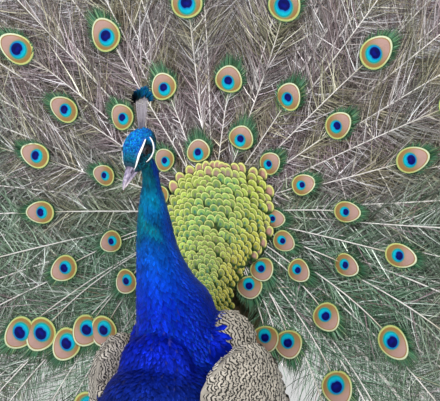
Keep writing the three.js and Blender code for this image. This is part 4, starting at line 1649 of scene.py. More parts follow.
def crest_tuft(end, lean, turn, share, random):
    """The barbs at the end of one crest shaft, with their colours: a small round brush."""
    bits, shades = [], []
    for k in range(TUFT_BARBS):
        near = k / (TUFT_BARBS - 1)
        angle = turn + math.radians(random.normal() * 14 * (1.2 - near))
        aim = np.array([0.22 * random.normal(), math.sin(angle), math.cos(angle)])
        start = end - lean * (1 - near) * 3.0
        out, reach = unit(aim), TUFT_REACH * (0.75 + 0.35 * random.random()) * (0.8 + 0.2 * near)
        width = 0.75 * unit(np.cross(out, np.array([1.0, 0.4 * random.normal(), 0.0])))
        for t, w in ((0.0, 0.6), (0.5, 1.0), (0.85, 0.75)):
            bits += [start + out * reach * t - width * w, start + out * reach * t + width * w]
        bits.append(start + out * reach)
        dark, sea, blue = linear("#04101c"), linear("#0b7f8e"), linear("#0a4f9c")
        # the tip's own green-blue, brightened at random up to twice as a painted highlight
        hue_and_sheen = lerp(sea, blue, random.random()) * (0.7 + 1.3 * random.random())
        hue_and_sheen = lerp(dark, hue_and_sheen, float(smoothstep(share, -0.5, -0.1)))
        shades += [dark, dark] + [lerp(dark, hue_and_sheen, 0.75)] * 2 + [hue_and_sheen] * 3
    return bits, shades


def crest_arrays():
    random = np.random.default_rng(CREST_SEED)
    shaft_bits, tuft_bits, tuft_shades = [], [], []
    for i in range(CREST_COUNT):
        share = i / (CREST_COUNT - 1) - 0.5
        aside = 1.6 * random.normal()
        root = CREST_ROOT + np.array([0.5 * aside, share * CREST_ROW, 0.0])
        turn = math.radians(share * CREST_SPREAD + CREST_LEAN)
        length = CREST_LENGTH * (1 - 0.4 * share * share) * (1 + 0.03 * random.normal())
        lean = unit(np.array([aside * 0.5 / length, math.sin(turn), math.cos(turn)]))
        end = root + lean * length
        for far, width in ((0.0, 0.5), (1.0, 0.32)):
            for angle in (0, 2.1, 4.2):
                ring = np.array([math.sin(angle), math.cos(angle), 0.0])
                shaft_bits.append(root + lean * length * far + width * ring)
        brush = math.radians(share * CREST_SPREAD * CREST_SPLAY + CREST_LEAN)
        bits, shades = crest_tuft(end, lean, brush, share, random)
        tuft_bits += bits
        tuft_shades += shades
    return np.array(shaft_bits), np.array(tuft_bits), np.array(tuft_shades)


def make_crest():
    shaft_bits, tuft_bits, tuft_shades = crest_arrays()
    tris = [(0, 1, 4), (0, 4, 3), (1, 2, 5), (1, 5, 4), (2, 0, 3), (2, 3, 5), (3, 4, 5), (0, 2, 1)]
    count = len(shaft_bits) // 6
    local = np.array([[0, 0], [0.5, 0], [1, 0], [0, 1], [0.5, 1], [1, 1]], float)
    base = np.stack([np.arange(count) / count, np.full(count, 0.5)], -1)
    stalks = copies("crest_shafts", shaft_bits.reshape(-1, 6, 3), np.array(tris), local, base)
    local = np.array([[0, 0], [1, 0], [0, 0.5], [1, 0.5], [0, 0.85], [1, 0.85], [0.5, 1]])
    brushes = tuft_bits.reshape(-1, 7, 3)
    base = flat_bake(brushes[:, 0][:, [1, 2]])
    tufts = copies("crest_tufts", brushes, BARB_TRIS, local, base, tuft_shades)
    return stalks, tufts


crest_stalks, crest_tufts = make_crest()
print("crest:", len(crest_tufts.data.polygons), "faces of tufts")

# %% [markdown]
# Flight and tail feathers are stiff vanes with a strong shaft. A vane here is a fine grid that is bent
# along a line, a little roofed on both sides of its shaft, and the shaft is a thin raised strip on it.


# %% Stiff feathers
SHAFT_STRIP, SHAFT_WIDEST = 0.08, 1.3


def stiff_vane(along):
    """The half width of a flight feather: a bare quill, parallel sides and a rounded tip."""
    return (0.12 + 0.88 * smoothstep(along, 0.04, 0.35)) * round_end(along, 0.8, 0.2, 0.06)


def stiff_feathers(name, lines, width, side_way, front_way, roof, shades, shaft_size=1.0):
    """lines is (count, stations, 3) places; side_way and front_way are unit vectors for each feather."""
    count, stations = lines.shape[:2]
    across = np.array([-1.0, -0.5, -0.1, -0.06, 0.0, 0.06, 0.1, 0.5, 1.0])
    along = np.linspace(0, 1, stations)
    u, v = np.meshgrid(across, along)
    half = stiff_vane(along)[None, :, None] * width[:, None, None] / 2
    thin = np.abs(across) < SHAFT_STRIP
    reach = np.where(thin, across * (1 - 0.6 * along[:, None]), across)[None] * half
    narrow = np.sign(reach) * np.minimum(np.abs(reach), SHAFT_WIDEST * shaft_size)
    reach = np.where(thin[None, None], narrow, reach)
    raised = (across == 0)[None, None] * (1.1 - 0.7 * along)[None, :, None] * shaft_size
    drop = roof * np.abs(reach) * (~thin)[None, None]
    verts = (
        lines[:, :, None]
        + side_way[:, None, None] * reach[..., None]
        + front_way[:, None, None] * (raised - drop)[..., None]
    )
    columns = len(across)
    tris = []
    for r in range(stations - 1):
        for c in range(columns - 1):
            a = r * columns + c
            tris += [(a, a + 1, a + columns + 1), (a, a + columns + 1, a + columns)]
    local = np.stack([(u.ravel() + 1) / 2, v.ravel()], -1)
    cell = (np.arange(count) + 0.5) / count
    bake = np.empty((count, local.shape[0], 2))
    bake[:, :, 0] = cell[:, None] + (local[None, :, 0] - 0.5) * 0.9 / count
    bake[:, :, 1] = 0.02 + 0.96 * local[None, :, 1]
    colours = np.broadcast_to(shades[:, None], (count, local.shape[0], 3)).copy()
    colours[:, np.abs(u.ravel()) < SHAFT_STRIP] = linear("#d9cfbc")
    vane = np.broadcast_to(local[None], (count, len(local), 2)).copy()
    vane[:, :, 1] += np.arange(count)[:, None]
    return joined_mesh(
        name, to_scene(verts.reshape(count, -1, 3)), repeated(np.array(tris), count, len(local)),
        vane=vane, bake=bake, coat=colours,
    )


print("stiff feathers ready")

# %% [markdown]
# The short stiff tail stands behind the train like a hand and holds it up. Its feathers are grey-brown.

# %% Tail
TAIL_CENTRE = np.array([0.0, 176.0, 482.0])
TAIL_INNER, TAIL_RADIUS, TAIL_LIMIT, TAIL_LEAN = 26.0, 415.0, 86.0, 0.26
TAIL_COUNT, TAIL_WIDTH = 20, 66.0


def make_tail():
    random = np.random.default_rng(TAIL_SEED)
    angles = np.linspace(-TAIL_LIMIT + 2, TAIL_LIMIT - 2, TAIL_COUNT)
    turn = np.radians(angles + random.normal(size=TAIL_COUNT) * 0.8)
    vary = 1 + 0.012 * random.normal(size=TAIL_COUNT)
    end = TAIL_RADIUS * (1 - 0.12 * (angles / TAIL_LIMIT) ** 2) * vary
    reach = TAIL_INNER + np.linspace(0, 1, 16)[None] * (end[:, None] - TAIL_INNER)
    layer = 0.9 * np.abs(np.arange(TAIL_COUNT) - (TAIL_COUNT - 1) / 2)
    curl = 6 * (reach / TAIL_RADIUS) ** 2
    lines = np.stack(
        [
            TAIL_CENTRE[0] + reach * np.sin(turn)[:, None],
            TAIL_CENTRE[1] + TAIL_LEAN * reach + curl - 5 + layer[:, None],
            TAIL_CENTRE[2] + reach * np.cos(turn)[:, None],
        ],
        -1,
    )
    side = np.stack([np.cos(turn), 0 * turn, -np.sin(turn)], -1)
    back = np.tile(np.array([0.0, 1.0, 0.0]), (TAIL_COUNT, 1))
    shade = blend_colours("#5b5148", "#7c7268", random.random(TAIL_COUNT))
    wide = np.full(TAIL_COUNT, TAIL_WIDTH)
    return stiff_feathers("tail_feathers", lines, wide, -side, back, 0.05, shade)


tail = make_tail()
print("tail:", len(tail.data.polygons), "faces")

# %% [markdown]
# Below each folded wing the chestnut flight feathers droop back along the thigh.

# %% Flight feathers
PRIMARY_COUNT, PRIMARY_WIDTH = 9, 25.0
PRIMARY_REACH, PRIMARY_ROOT_Y, PRIMARY_X = 288.0, 30.0, 102.0


def make_primaries(side):
    random = np.random.default_rng(PRIMARY_SEED)
    rank = np.linspace(0, 1, PRIMARY_COUNT)
    reach = (PRIMARY_REACH + 18) * (1 - 0.34 * rank) * (1 + 0.01 * random.normal(size=PRIMARY_COUNT))
    t = np.linspace(0, 1, 14)[None]
    low = lerp(274, 330, rank)[:, None]
    z = low + (lerp(206, 262, rank)[:, None] - low) * t - 6 * t * (1 - t)
    x = PRIMARY_X + 9 * np.sin(math.pi * rank)[:, None] * (1 - t) - 8 * t + 1.6 * rank[:, None] - 2
    y = PRIMARY_ROOT_Y + reach[:, None] * t
    lines = np.stack([side * x, y, z], -1)
    up = np.tile(np.array([0.0, 0.0, 1.0]), (PRIMARY_COUNT, 1))
    out = np.tile(np.array([side * 1.0, 0.0, 0.0]), (PRIMARY_COUNT, 1))
    shade = blend_colours("#7d4526", "#a0602f", random.random(PRIMARY_COUNT))
    name = "flight_feathers_left" if side > 0 else "flight_feathers_right"
    wide = np.full(PRIMARY_COUNT, PRIMARY_WIDTH)
    return stiff_feathers(name, lines, wide, up * side, out, 0.08, shade)


primaries = {1: make_primaries(1), -1: make_primaries(-1)}
print("flight feathers:", 2 * PRIMARY_COUNT)

# %% [markdown]
# The shanks and toes are bare and scaled. A scute is a slight bulge, so a row of them is a small saw in
# the tube's radius, and the finer scales are left to the material.

# %% Legs and feet
SHANK = [
    [158, 80, 63, 5], [150, 80, 63, 9], [136, 77, 63, 7], [80, 67, 63.5, 6.2], [26, 59, 64, 7],
    [9, 57, 64, 5],
]
ANKLE = np.array([64.0, 56.0, 9.0])
TOES = {"inner": (-30, 52), "middle": (2, 71), "outer": (33, 57), "hallux": (196, 27)}
TOE_RADIUS, TOE_HEIGHT = 5.6, 4.4
CLAW_LENGTH = 14.0
SCUTE, SHANK_LENGTH = 5.5, 150
UP = np.array([[0, 0, 1.0]])


def saw(length):
    """A row of bulges, one for each scute's length."""
    phase = (length / SCUTE) % 1.0
    return 0.94 + 0.08 * np.sqrt(np.sin(phase * math.pi))


def shank(side):
    def path(share):
        return np.stack(
            [side * spline(SHANK, 2, share), spline(SHANK, 1, share), spline(SHANK, 0, share)], -1
        )

    def radius(share):
        ends = np.sqrt(np.sin(np.clip(share, 0.0, 1) * math.pi) ** 0.3)
        return spline(SHANK, 3, share) * saw(share * SHANK_LENGTH) * ends

    return threaded(f"shank_{side}", path, radius, sides=20, rings=110, up=(0, 1, 0.2))


def toe_line(side, turn, length):
    way = np.array([side * math.sin(math.radians(turn)), -math.cos(math.radians(turn)), 0.0])
    root = ANKLE * np.array([side, 1, 1]) + np.array([0, 0, -1.5])
    tip = ANKLE * np.array([side, 1, 0]) + way * length + np.array([0, 0, TOE_HEIGHT - 0.6])
    return root, tip, way


def toe(side, turn, length):
    root, tip, way = toe_line(side, turn, length)

    def path(share):
        height = lerp(root[2], tip[2], smoothstep(share, 0, 0.35))
        knuckle = 0.9 * np.sin(share * math.pi * 3) ** 2 * share * (1 - share) * 2
        flat = root[None, :2] + way[None, :2] * (share * length)[:, None]
        return np.concatenate([flat, (height + knuckle)[:, None]], 1)

    def radius(share):
        pad = 1 + 0.09 * np.cos(share * math.pi * 6)
        taper = lerp(1.0, 0.62, share)
        ends = np.sqrt(np.clip(1 - (2 * share - 1) ** 8, 0, 1))
        return TOE_RADIUS * 0.86 * taper * pad * ends * saw(share * length)

    return threaded(f"toe_{side}_{turn}", path, radius, sides=16, rings=int(length * 1.1), flatten=0.9)


def claw(side, turn, length):
    _, tip, way = toe_line(side, turn, length)

    def path(share):
        drop = -3.0 * share**2 + 0.9 * share
        ahead = ((share - 0.22) * CLAW_LENGTH * 1.08)[:, None]
        return tip[None] + way[None] * ahead + 0.9 * UP + drop[:, None] * UP

    def radius(share):
        return 2.75 * (1 - share) ** 0.75 * np.clip(share / 0.08, 0, 1) ** 0.5 + 0.12

    return threaded(f"claw_{side}_{turn}", path, radius, sides=12, rings=16, flatten=0.85)


SPUR = {"height": 62, "root": (60, 65), "length": 24, "radius": 3.4}


def spur(side):
    root = np.array([side * SPUR["root"][0], SPUR["root"][1], SPUR["height"]])
    way = unit(np.array([side * -0.35, 0.93, 0.1]))

    def path(share):
        ahead = (share * SPUR["length"])[:, None]
        return root[None] + way[None] * ahead + (3 * share**2)[:, None] * UP

    def radius(share):
        return SPUR["radius"] * (1 - share) ** 0.8 * np.clip(share / 0.05, 0, 1) ** 0.5 + 0.1

    return threaded(f"spur_{side}", path, radius, sides=12, rings=14)


legs, claws = {}, {}
for side, word in ((1, "left"), (-1, "right")):
    toes = [toe(side, *TOES[name]) for name in TOES]
    legs[side] = merged(f"scaled_leg_{word}", [shank(side)] + toes)
    horns = [claw(side, *TOES[name]) for name in TOES] + [spur(side)]
    claws[side] = merged(f"horn_claws_{word}", horns)
print("a leg:", len(legs[1].data.polygons), "faces")

# %% [markdown]
# Materials are small networks of nodes. These helpers add a node, set its values and link it, so that
# each finish below reads as a short recipe. A pattern that several finishes share is a node group, and
# it gives out only what varies over the surface.


# %% Node helpers
def put(socket_or_value, tree, target):
    """Links a socket to a target socket, or sets the target's own value."""
    if isinstance(socket_or_value, bpy.types.NodeSocket):
        tree.links.new(socket_or_value, target)
    else:
        target.default_value = socket_or_value


def maths(tree, operation, *values):
    node = tree.nodes.new("ShaderNodeMath")
    node.operation = operation
    for target, value in zip(node.inputs, values):
        put(value, tree, target)
    return node.outputs[0]


def times(tree, a, b):
    return maths(tree, "MULTIPLY", a, b)


def plus(tree, a, b):
    return maths(tree, "ADD", a, b)


def minus(tree, a, b):
    return maths(tree, "SUBTRACT", a, b)


def off_middle(tree, value, middle=0.5):
    """How far a value is from a middle, on either side."""
    return maths(tree, "ABSOLUTE", minus(tree, value, middle))


def centred(tree, part, span):
    """A part of a map, from 0 to 1, as a place from -span / 2 to span / 2."""
    return times(tree, minus(tree, part, 0.5), span)


def distance(tree, x, y):
    return maths(tree, "SQRT", plus(tree, times(tree, x, x), times(tree, y, y)))


def mixed(tree, share, a, b):
    """A mix of two colours, each a socket, a #rrggbb code or a tuple, by a share from 0 to 1."""
    node = tree.nodes.new("ShaderNodeMix")
    node.data_type = "RGBA"
    for name, value in (("Factor_Float", share), ("A_Color", a), ("B_Color", b)):
        target = next(s for s in node.inputs if s.identifier == name)
        if isinstance(value, (str, tuple)):
            value = (*(linear(value) if isinstance(value, str) else value), 1.0)
        put(value, tree, target)
    return next(s for s in node.outputs if s.identifier == "Result_Color")


def step_up(tree, value, low, high):
    """A smooth rise from 0 to 1 as value goes from low to high."""
    node = tree.nodes.new("ShaderNodeMapRange")
    node.interpolation_type = "SMOOTHSTEP"
    for name, number in (("From Min", low), ("From Max", high), ("To Min", 0.0), ("To Max", 1.0)):
        node.inputs[name].default_value = number
    put(value, tree, node.inputs["Value"])
    return node.outputs[0]


def attribute(tree, name, output="Color"):
    node = tree.nodes.new("ShaderNodeAttribute")
    node.attribute_name = name
    return node.outputs[output]


def uv_parts(tree, name="Vane"):
    uv = tree.nodes.new("ShaderNodeUVMap")
    uv.uv_map = name
    split = tree.nodes.new("ShaderNodeSeparateXYZ")
    tree.links.new(uv.outputs[0], split.inputs[0])
    return split.outputs[0], split.outputs[1]


def object_noise(tree, scale, detail=3.0):
    place = tree.nodes.new("ShaderNodeTexCoord").outputs["Object"]
    node = tree.nodes.new("ShaderNodeTexNoise")
    node.inputs["Scale"].default_value = scale
    node.inputs["Detail"].default_value = detail
    tree.links.new(place, node.inputs["Vector"])
    return node.outputs["Fac"]


def grain(scale, detail=3.0):
    """A bump from noise."""
    return lambda tree: object_noise(tree, scale, detail)


def grain_colour(scale, a, b, detail=3.0):
    """Two colours mixed by noise."""
    return lambda tree: mixed(tree, object_noise(tree, scale, detail), a, b)


def own_colour(tree):
    return attribute(tree, "Coat")


def finish_of(name, colour, roughness=0.5, metallic=0.0, bump=None, bump_depth=0.0004, **uniform):
    """A Principled BSDF material. colour and bump may be functions that add nodes to its tree."""
    material = bpy.data.materials.new(name)
    material.use_nodes = True
    tree = material.node_tree
    shader = tree.nodes["Principled BSDF"]
    tree.links.new(colour(tree), shader.inputs["Base Color"])
    shader.inputs["Roughness"].default_value = roughness
    shader.inputs["Metallic"].default_value = metallic
    for key, value in uniform.items():
        shader.inputs[key.replace("_", " ")].default_value = value
    if bump:
        node = tree.nodes.new("ShaderNodeBump")
        node.inputs["Distance"].default_value = bump_depth
        node.inputs["Strength"].default_value = 0.7
        tree.links.new(bump(tree), node.inputs["Height"])
        tree.links.new(node.outputs[0], shader.inputs["Normal"])
    return material


print("helpers ready")

# %% [markdown]
# Every vane shows fine parallel barbs that slant from the shaft towards the tip on both sides. The group
# takes how many barbs a vane has and gives their height, from the map Vane.


# %% The barb lines of a vane
def barb_group():
    tree = bpy.data.node_groups.new("barb_lines", "ShaderNodeTree")
    tree.interface.new_socket("Count", in_out="INPUT", socket_type="NodeSocketFloat")
    tree.interface.new_socket("Slant", in_out="INPUT", socket_type="NodeSocketFloat")
    tree.interface.new_socket("Height", in_out="OUTPUT", socket_type="NodeSocketFloat")
    tree.interface.new_socket("Shaft", in_out="OUTPUT", socket_type="NodeSocketFloat")
    start = tree.nodes.new("NodeGroupInput")
    end = tree.nodes.new("NodeGroupOutput")
    u, v = uv_parts(tree)
    aside = off_middle(tree, u)
    slanted = minus(tree, v, times(tree, aside, start.outputs["Slant"]))
    wave = maths(tree, "SINE", times(tree, slanted, start.outputs["Count"]))
    height = maths(tree, "MULTIPLY_ADD", wave, 0.5, 0.5)
    tree.links.new(height, end.inputs["Height"])
    tree.links.new(minus(tree, 1.0, step_up(tree, aside, 0.0, 0.07)), end.inputs["Shaft"])
    return tree


barb_lines = barb_group()


def barbs_of(tree, count, slant=0.6):
    node = tree.nodes.new("ShaderNodeGroup")
    node.node_tree = barb_lines
    node.inputs["Count"].default_value = count * 2 * math.pi
    node.inputs["Slant"].default_value = slant
    return node.outputs["Height"], node.outputs["Shaft"]


def coat_colour(count, dark=0.25, shaft=0.25):
    """The coat's own colour, darkened between its barbs and along each shaft."""

    def build(tree):
        height, stalk = barbs_of(tree, count)
        base = own_colour(tree)
        gaps = times(tree, minus(tree, 1.0, height), dark)
        shade = maths(tree, "MAXIMUM", gaps, times(tree, stalk, shaft))
        return mixed(tree, shade, base, (0.004, 0.006, 0.01))

    return build


def barb_bump(count, slant=0.6):
    return lambda tree: barbs_of(tree, count, slant)[0]


blue_coat = finish_of(
    "blue_plumage", coat_colour(9, 0.2, 0.15), 0.4, 0.66, barb_bump(9), 0.0003, Specular_IOR_Level=0.08,
)
dark_coat = finish_of("dark_plumage", coat_colour(13, 0.22, 0.3), 0.62, 0.12, barb_bump(13), 0.0004)
buff_coat = finish_of("buff_plumage", coat_colour(12, 0.25, 0.3), 0.72, 0.0, barb_bump(12), 0.0004)
print("plumage finishes ready")

# %% [markdown]
# The wing is buff with broken black bars across every feather. The bars follow the vane, bend at the
# shaft and differ from feather to feather.


# %% Barred feathers
BARS = 3.2


def barred_colour(tree):
    u, v = uv_parts(tree)
    aside = off_middle(tree, u)
    wobble = times(tree, object_noise(tree, 120.0, 3.0), 0.5)
    along = plus(tree, minus(tree, v, times(tree, aside, 0.35)), wobble)
    wave = maths(tree, "SINE", times(tree, along, BARS * 2 * math.pi))
    bar = step_up(tree, wave, 0.05, 0.5)
    pale = mixed(tree, 0.25, own_colour(tree), "#d8d0c4")
    return mixed(tree, bar, pale, "#161311")


barred_coat = finish_of("barred_plumage", barred_colour, 0.6, 0.0, barb_bump(16), 0.0004)
print("barred finish ready")

# %% [markdown]
# A scale of the shield is gold-green with a dark edge, a paler band inside it, and a blue-green heart;
# the pale band is partly painted highlight.
# The distance from the heart draws all three.


# %% Scales of the shield
def scale_colour(tree):
    u, v = uv_parts(tree)
    far = distance(tree, centred(tree, u, 2.0), centred(tree, v, 2.0))
    main, heart = own_colour(tree), attribute(tree, "Heart")
    rim = attribute(tree, "Heart", "Alpha")
    height, _ = barbs_of(tree, 8)
    fine = mixed(tree, times(tree, height, 0.2), main, (0.02, 0.05, 0.01))
    inner = minus(tree, far, times(tree, rim, 0.34))
    centre = mixed(tree, step_up(tree, inner, 0.4, 0.14), fine, heart)
    # the pale band: partly the scale's own band, partly painted highlight
    pale = mixed(tree, step_up(tree, far, 0.64, 0.76), centre, mixed(tree, 0.6, main, "#dfe08c"))
    edge = mixed(tree, step_up(tree, far, 0.86, 0.93), pale, "#2c3c18")
    return mixed(tree, step_up(tree, v, 0.5, 0.2), edge, "#2c4a22")


scale_coat = finish_of(
    "golden_scales", scale_colour, 0.38, 0.35, barb_bump(10), 0.0003, Specular_IOR_Level=0.3,
)
print("scale finish ready")

# %% [markdown]
# An eye spot is drawn in bands: a pale ring, a coppery field that is rosy towards the tip, a turquoise
# disc set towards the root, and a violet-blue pupil with a notch at its lower side. The map Vane holds
# true proportions here, so that circles stay round, and Coat holds how far out a place is.


# %% Eye spot pattern
def spot_colour(tree):
    u, v = uv_parts(tree)
    x, y = centred(tree, u, 2 * SPOT_SPAN), centred(tree, v, 2 * SPOT_SPAN)
    split = tree.nodes.new("ShaderNodeSeparateColor")
    tree.links.new(own_colour(tree), split.inputs[0])
    out, luck, small = split.outputs

    shrink = maths(tree, "MULTIPLY_ADD", small, 0.5, 1.0)
    tighten = maths(tree, "MULTIPLY_ADD", small, 0.75, 1.0)
    disc = times(tree, distance(tree, x, minus(tree, y, -0.25)), shrink)
    side = times(tree, step_up(tree, maths(tree, "ABSOLUTE", x), 0.18, 0.0), 0.07)
    notch = times(tree, side, step_up(tree, y, -0.15, -0.45))
    rise = times(tree, minus(tree, y, -0.12), 1.05)
    pupil = plus(tree, times(tree, distance(tree, x, rise), tighten), notch)
    tipward = step_up(tree, y, -0.5, 0.8)
    streak = object_noise(tree, 900.0, 2.0)
    field = mixed(tree, tipward, "#8f7044", "#ad8d86")
    field = mixed(tree, times(tree, streak, 0.22), field, "#6d5a3a")
    edge_glow = mixed(tree, step_up(tree, out, 0.78, 0.86), field, "#8f6f3e")
    halo = mixed(tree, step_up(tree, disc, 0.80, 0.64), edge_glow, "#5f8a6a")
    sea = mixed(tree, step_up(tree, disc, 0.69, 0.61), halo, "#128a84")
    bright = mixed(tree, step_up(tree, disc, 0.62, 0.5), sea, "#0aa6ba")
    deep = mixed(tree, step_up(tree, pupil, 0.66, 0.43), bright, "#0a66b4")
    dark = mixed(tree, step_up(tree, pupil, 0.48, 0.42), deep, "#060c56")
    night = mixed(tree, step_up(tree, y, -0.2, 0.1), "#0a1272", "#04082c")
    violet = mixed(tree, step_up(tree, pupil, 0.3, 0.12), dark, night)
    pale = mixed(tree, tipward, "#b3b873", "#cdd2b4")
    tinted = mixed(tree, times(tree, luck, 0.3), pale, "#8c9a5c")
    ring = mixed(tree, step_up(tree, out, 0.86, 0.9), violet, tinted)
    return mixed(tree, step_up(tree, out, 0.96, 1.0), ring, "#4d7a50")


def spot_lines(tree):
    """Fine barbs that run outwards over the spot."""
    u, v = uv_parts(tree)
    aside = off_middle(tree, u)
    slanted = minus(tree, v, times(tree, aside, 0.9))
    return maths(tree, "SINE", times(tree, slanted, 180.0))


spot_coat = finish_of(
    "eye_spots", spot_colour, 0.42, 0.15, spot_lines, 0.00012, Specular_IOR_Level=0.06,
)
print("eye spot finish ready")

# %% [markdown]
# Barbs and tufts carry their colours in Coat. Their finish is a little metallic, because the colour of a
# peacock's barbs comes from fine layers that mirror light.

# %% Train, crest and stiff feathers
barb_coat = finish_of("train_barbs", own_colour, 0.42, 0.3)
tuft_coat = finish_of("crest_tufts", own_colour, 0.4, 0.5, Specular_IOR_Level=0.1)


def shaft_colour(tree):
    _, v = uv_parts(tree)
    pale = mixed(tree, object_noise(tree, 260.0, 2.0), "#cfcac4", "#f4f1ee")
    return mixed(tree, step_up(tree, v, 0.75, 1.0), pale, "#a8a084")


shaft_coat = finish_of("ivory_shafts", shaft_colour, 0.35)
stalk_coat = finish_of("crest_stalks", grain_colour(300.0, "#8b8590", "#b7b0b8"), 0.55)


def stiff_colour(tree):
    height, _ = barbs_of(tree, 60, 0.5)
    mottle = object_noise(tree, 90.0, 4.0)
    base = mixed(tree, times(tree, mottle, 0.5), own_colour(tree), "#2e2822")
    return mixed(tree, times(tree, height, 0.2), base, "#1c1815")


stiff_coat = finish_of("stiff_feathers", stiff_colour, 0.6, 0.0, barb_bump(60, 0.5), 0.0004)
print("feather finishes ready")

# %% [markdown]
# The skin shows between the feathers in the coat's own colours, darkened as painted shade in the gaps.
# The face's bare skin is white and slightly wrinkled, and the lids are dark.

# %% Skin, bill and eyes
skin_finish = finish_of("skin_under_coat", own_colour, 0.7, 0.2, grain(500.0), 0.0004)
white_skin = finish_of(
    "white_skin", grain_colour(700.0, "#d9e0e4", "#fbfdff"), 0.5, 0.0, grain(900.0), 0.0003,
)
lid_skin = finish_of(
    "lid_skin", grain_colour(800.0, "#070a12", "#171f2e"), 0.5, 0.0, grain(1100.0), 0.0003,
)


def horn_colour(tree):
    u, v = uv_parts(tree)
    streaks = step_up(tree, object_noise(tree, 240.0, 5.0), 0.35, 0.65)
    base = mixed(tree, streaks, "#6d6280", "#a79db4")
    tip = mixed(tree, step_up(tree, v, 0.5, 0.85), base, "#cfc4cc")
    seam = step_up(tree, off_middle(tree, u, 0.75), 0.03, 0.0)
    edge = mixed(tree, seam, tip, "#5b5169")
    return mixed(tree, step_up(tree, v, 0.32, 0.08), edge, "#4d465c")


horn = finish_of("bill_horn", horn_colour, 0.36, 0.0, grain(260.0, 4.0), 0.0003)
slit = finish_of("nostril_dark", grain_colour(900.0, "#1c171c", "#2f272e"), 0.8)


SPOKES = 60


def eye_colour(tree):
    u, v = uv_parts(tree)
    spokes = maths(tree, "SINE", times(tree, u, SPOKES * 2 * math.pi))
    iris = mixed(tree, maths(tree, "MULTIPLY_ADD", spokes, 0.2, 0.3), "#4a2015", "#8a4a30")
    ring = mixed(tree, step_up(tree, v, 0.33, 0.38), iris, "#0d0808")
    return mixed(tree, step_up(tree, v, 0.13, 0.115), ring, "#020202")


eye_gloss = finish_of("eye_gloss", eye_colour, 0.06, Specular_IOR_Level=0.25)
print("face finishes ready")

# %% [markdown]
# Legs are grey-brown with a net of fine scales between the scutes, and the claws are dark horn that is
# paler at the root.


# %% Legs and claws
def scale_net(tree):
    place = tree.nodes.new("ShaderNodeTexCoord").outputs["Object"]
    cells = tree.nodes.new("ShaderNodeTexVoronoi")
    cells.feature = "DISTANCE_TO_EDGE"
    cells.inputs["Scale"].default_value = 420.0
    tree.links.new(place, cells.inputs["Vector"])
    return step_up(tree, cells.outputs["Distance"], 0.02, 0.16)


def leg_colour(tree):
    base = mixed(tree, object_noise(tree, 120.0, 4.0), "#6f675f", "#a39a8e")
    return mixed(tree, scale_net(tree), "#4a443f", base)


leg_scales = finish_of("leg_scales", leg_colour, 0.52, 0.0, scale_net, 0.0006)


def claw_colour(tree):
    _, v = uv_parts(tree)
    base = mixed(tree, object_noise(tree, 240.0, 3.0), "#2c2622", "#4c443d")
    return mixed(tree, step_up(tree, v, 0.5, 0.1), base, "#80776c")


claw_horn = finish_of("claw_horn", claw_colour, 0.36, 0.0, grain(300.0), 0.0003)
print("finishes:", len(bpy.data.materials))

# %% [markdown]
# Each piece takes its finish, rides on the bird's one body, and names the CAD nodes that it stands for.
# Pieces that aren't feathers get a bake unwrap here.

# %% Putting the pieces on the frame
TRAIN_NODES = [f"train_{i:02d}" for i in range(1, 15)]


def settle(piece, material, slot, *nodes, unwrapped=False):
    piece.data.materials.clear()
    piece.data.materials.append(material)
    if unwrapped:
        unwrap(piece)
    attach(piece, "root")
    if nodes:
        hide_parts(*nodes)
    return piece


NECK_NODES = ("neck_lower", "neck_middle", "neck_upper")
SKIN_NODES = (
    "trunk", *NECK_NODES, "head", "rump", "vent", "back_shield", "wing_left", "wing_right",
    "thigh_left", "thigh_right",
)
settle(skin, skin_finish, "blue_plumage", *SKIN_NODES)
settle(coat_pieces["feathers_head"], blue_coat, "blue_plumage", "head")
settle(coat_pieces["feathers_neck"], blue_coat, "blue_plumage", *NECK_NODES)
settle(coat_pieces["feathers_trunk"], blue_coat, "blue_plumage", "trunk")
settle(coat_pieces["feathers_thigh"], buff_coat, "thigh_feathers", "thigh_left", "thigh_right")
settle(coat_pieces["feathers_rump"], dark_coat, "dark_down", "rump")
settle(coat_pieces["feathers_vent"], dark_coat, "dark_down", "vent")
settle(coat_pieces["feathers_wing"], barred_coat, "barred_feathers", "wing_left", "wing_right")
settle(scales, scale_coat, "golden_scales", "back_shield")
settle(shafts, shaft_coat, "train_vanes", *TRAIN_NODES)
settle(eye_spots, spot_coat, "train_vanes", *TRAIN_NODES)
for index, piece in enumerate(barbs):
    settle(piece, barb_coat, "train_vanes", *TRAIN_NODES[2 * index : 2 * index + 2])
settle(crest_stalks, stalk_coat, "crest_vanes", "crest")
settle(crest_tufts, tuft_coat, "crest_vanes", "crest")
settle(bill_top, horn, "bill_horn", "bill_upper", unwrapped=True)
settle(bill_under, horn, "bill_horn", "bill_lower", unwrapped=True)
settle(nostrils, slit, "bill_horn", "bill_upper", unwrapped=True)
settle(face_strips, white_skin, "bill_horn", "head", unwrapped=True)
settle(lids, lid_skin, "dark_down", "head", unwrapped=True)
settle(eye_left, eye_gloss, "eye_gloss", "eye_left", unwrapped=True)
settle(eye_right, eye_gloss, "eye_gloss", "eye_right", unwrapped=True)
settle(tail, stiff_coat, "tail_vanes", "tail")
for side, word in ((1, "left"), (-1, "right")):
    settle(primaries[side], stiff_coat, "chestnut_feathers", f"primaries_{word}")
    settle(legs[side], leg_scales, "leg_scales", f"shank_{word}", f"foot_{word}", unwrapped=True)
    claw_nodes = [f"claw_{name}_{word}" for name in TOES] + [f"spur_{word}"]
    settle(claws[side], claw_horn, "claw_horn", *claw_nodes, unwrapped=True)
print("CAD nodes still shown:", [n for n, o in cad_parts.items() if not o.hide_render])

# %% [markdown]
# The bird stands on a plain pale floor under soft studio light: one large light ahead and to its left,
# a weaker one on its right, one from above and behind for the rim, and a pale sky. The camera stands at
# the height of the breast, a little to the bird's left, with a long lens.

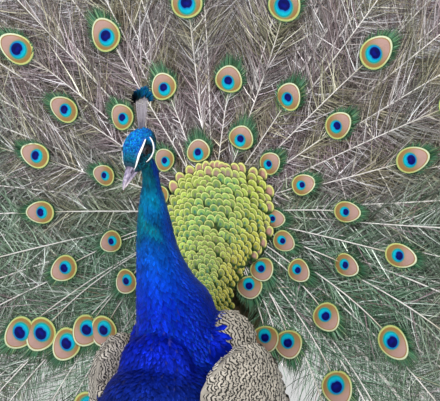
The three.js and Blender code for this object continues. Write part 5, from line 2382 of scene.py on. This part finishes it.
# %% Floor, lights and camera
floor_mesh = bmesh.new()
bmesh.ops.create_grid(floor_mesh, x_segments=1, y_segments=1, size=12.0)
floor = finished("floor", floor_mesh)
floor.data.materials.append(finish_of("pale_floor", grain_colour(3.0, "#d4d2ce", "#dcdad6"), 0.8))


def area_light(name, place, aim, size, power, colour):
    light = bpy.data.lights.new(name, "AREA")
    light.shape, light.size, light.energy = "DISK", size, power
    light.color = colour
    lamp = bpy.data.objects.new(name, light)
    bpy.context.scene.collection.objects.link(lamp)
    lamp.location = place
    lamp.rotation_euler = (Vector(aim) - Vector(place)).to_track_quat("-Z", "Y").to_euler()
    return lamp


area_light("key_light", (2.6, -3.4, 3.4), (0, 0, 0.7), 1.6, 230.0, (1.0, 0.98, 0.95))
area_light("fill_light", (-3.4, -3.0, 1.8), (0, 0, 0.7), 2.4, 90.0, (0.93, 0.96, 1.0))
area_light("top_light", (0.4, 1.0, 4.4), (0, 0, 0.8), 2.6, 110.0, (1.0, 1.0, 1.0))

world = bpy.data.worlds.new("studio")
world.use_nodes = True
world.node_tree.nodes["Background"].inputs["Color"].default_value = (0.78, 0.82, 0.88, 1)
world.node_tree.nodes["Background"].inputs["Strength"].default_value = 0.62
bpy.context.scene.world = world
bpy.context.scene.view_settings.view_transform = "Standard"

CAMERA_AIM = np.array([0.09602, -0.15194, 0.6678])
CAMERA_TURN, CAMERA_RISE = math.radians(28), math.radians(6)
CAMERA_FAR = 4.6
FOCAL_PIXELS, PICTURE_WIDTH, SENSOR = 3540.0, 440.0, 36.0
camera_data = bpy.data.cameras.new("camera")
camera_data.sensor_fit = "HORIZONTAL"
camera_data.sensor_width = SENSOR
camera_data.lens = FOCAL_PIXELS / PICTURE_WIDTH * SENSOR
camera = bpy.data.objects.new("camera", camera_data)
bpy.context.scene.collection.objects.link(camera)
ahead = np.array(
    [
        -math.sin(CAMERA_TURN) * math.cos(CAMERA_RISE), math.cos(CAMERA_TURN) * math.cos(CAMERA_RISE),
        -math.sin(CAMERA_RISE),
    ]
)
camera.location = CAMERA_AIM - CAMERA_FAR * ahead
camera.rotation_euler = Vector(ahead).to_track_quat("-Z", "Y").to_euler()
bpy.context.scene.camera = camera
print("lens:", round(camera_data.lens, 1), "mm at", camera.location[:])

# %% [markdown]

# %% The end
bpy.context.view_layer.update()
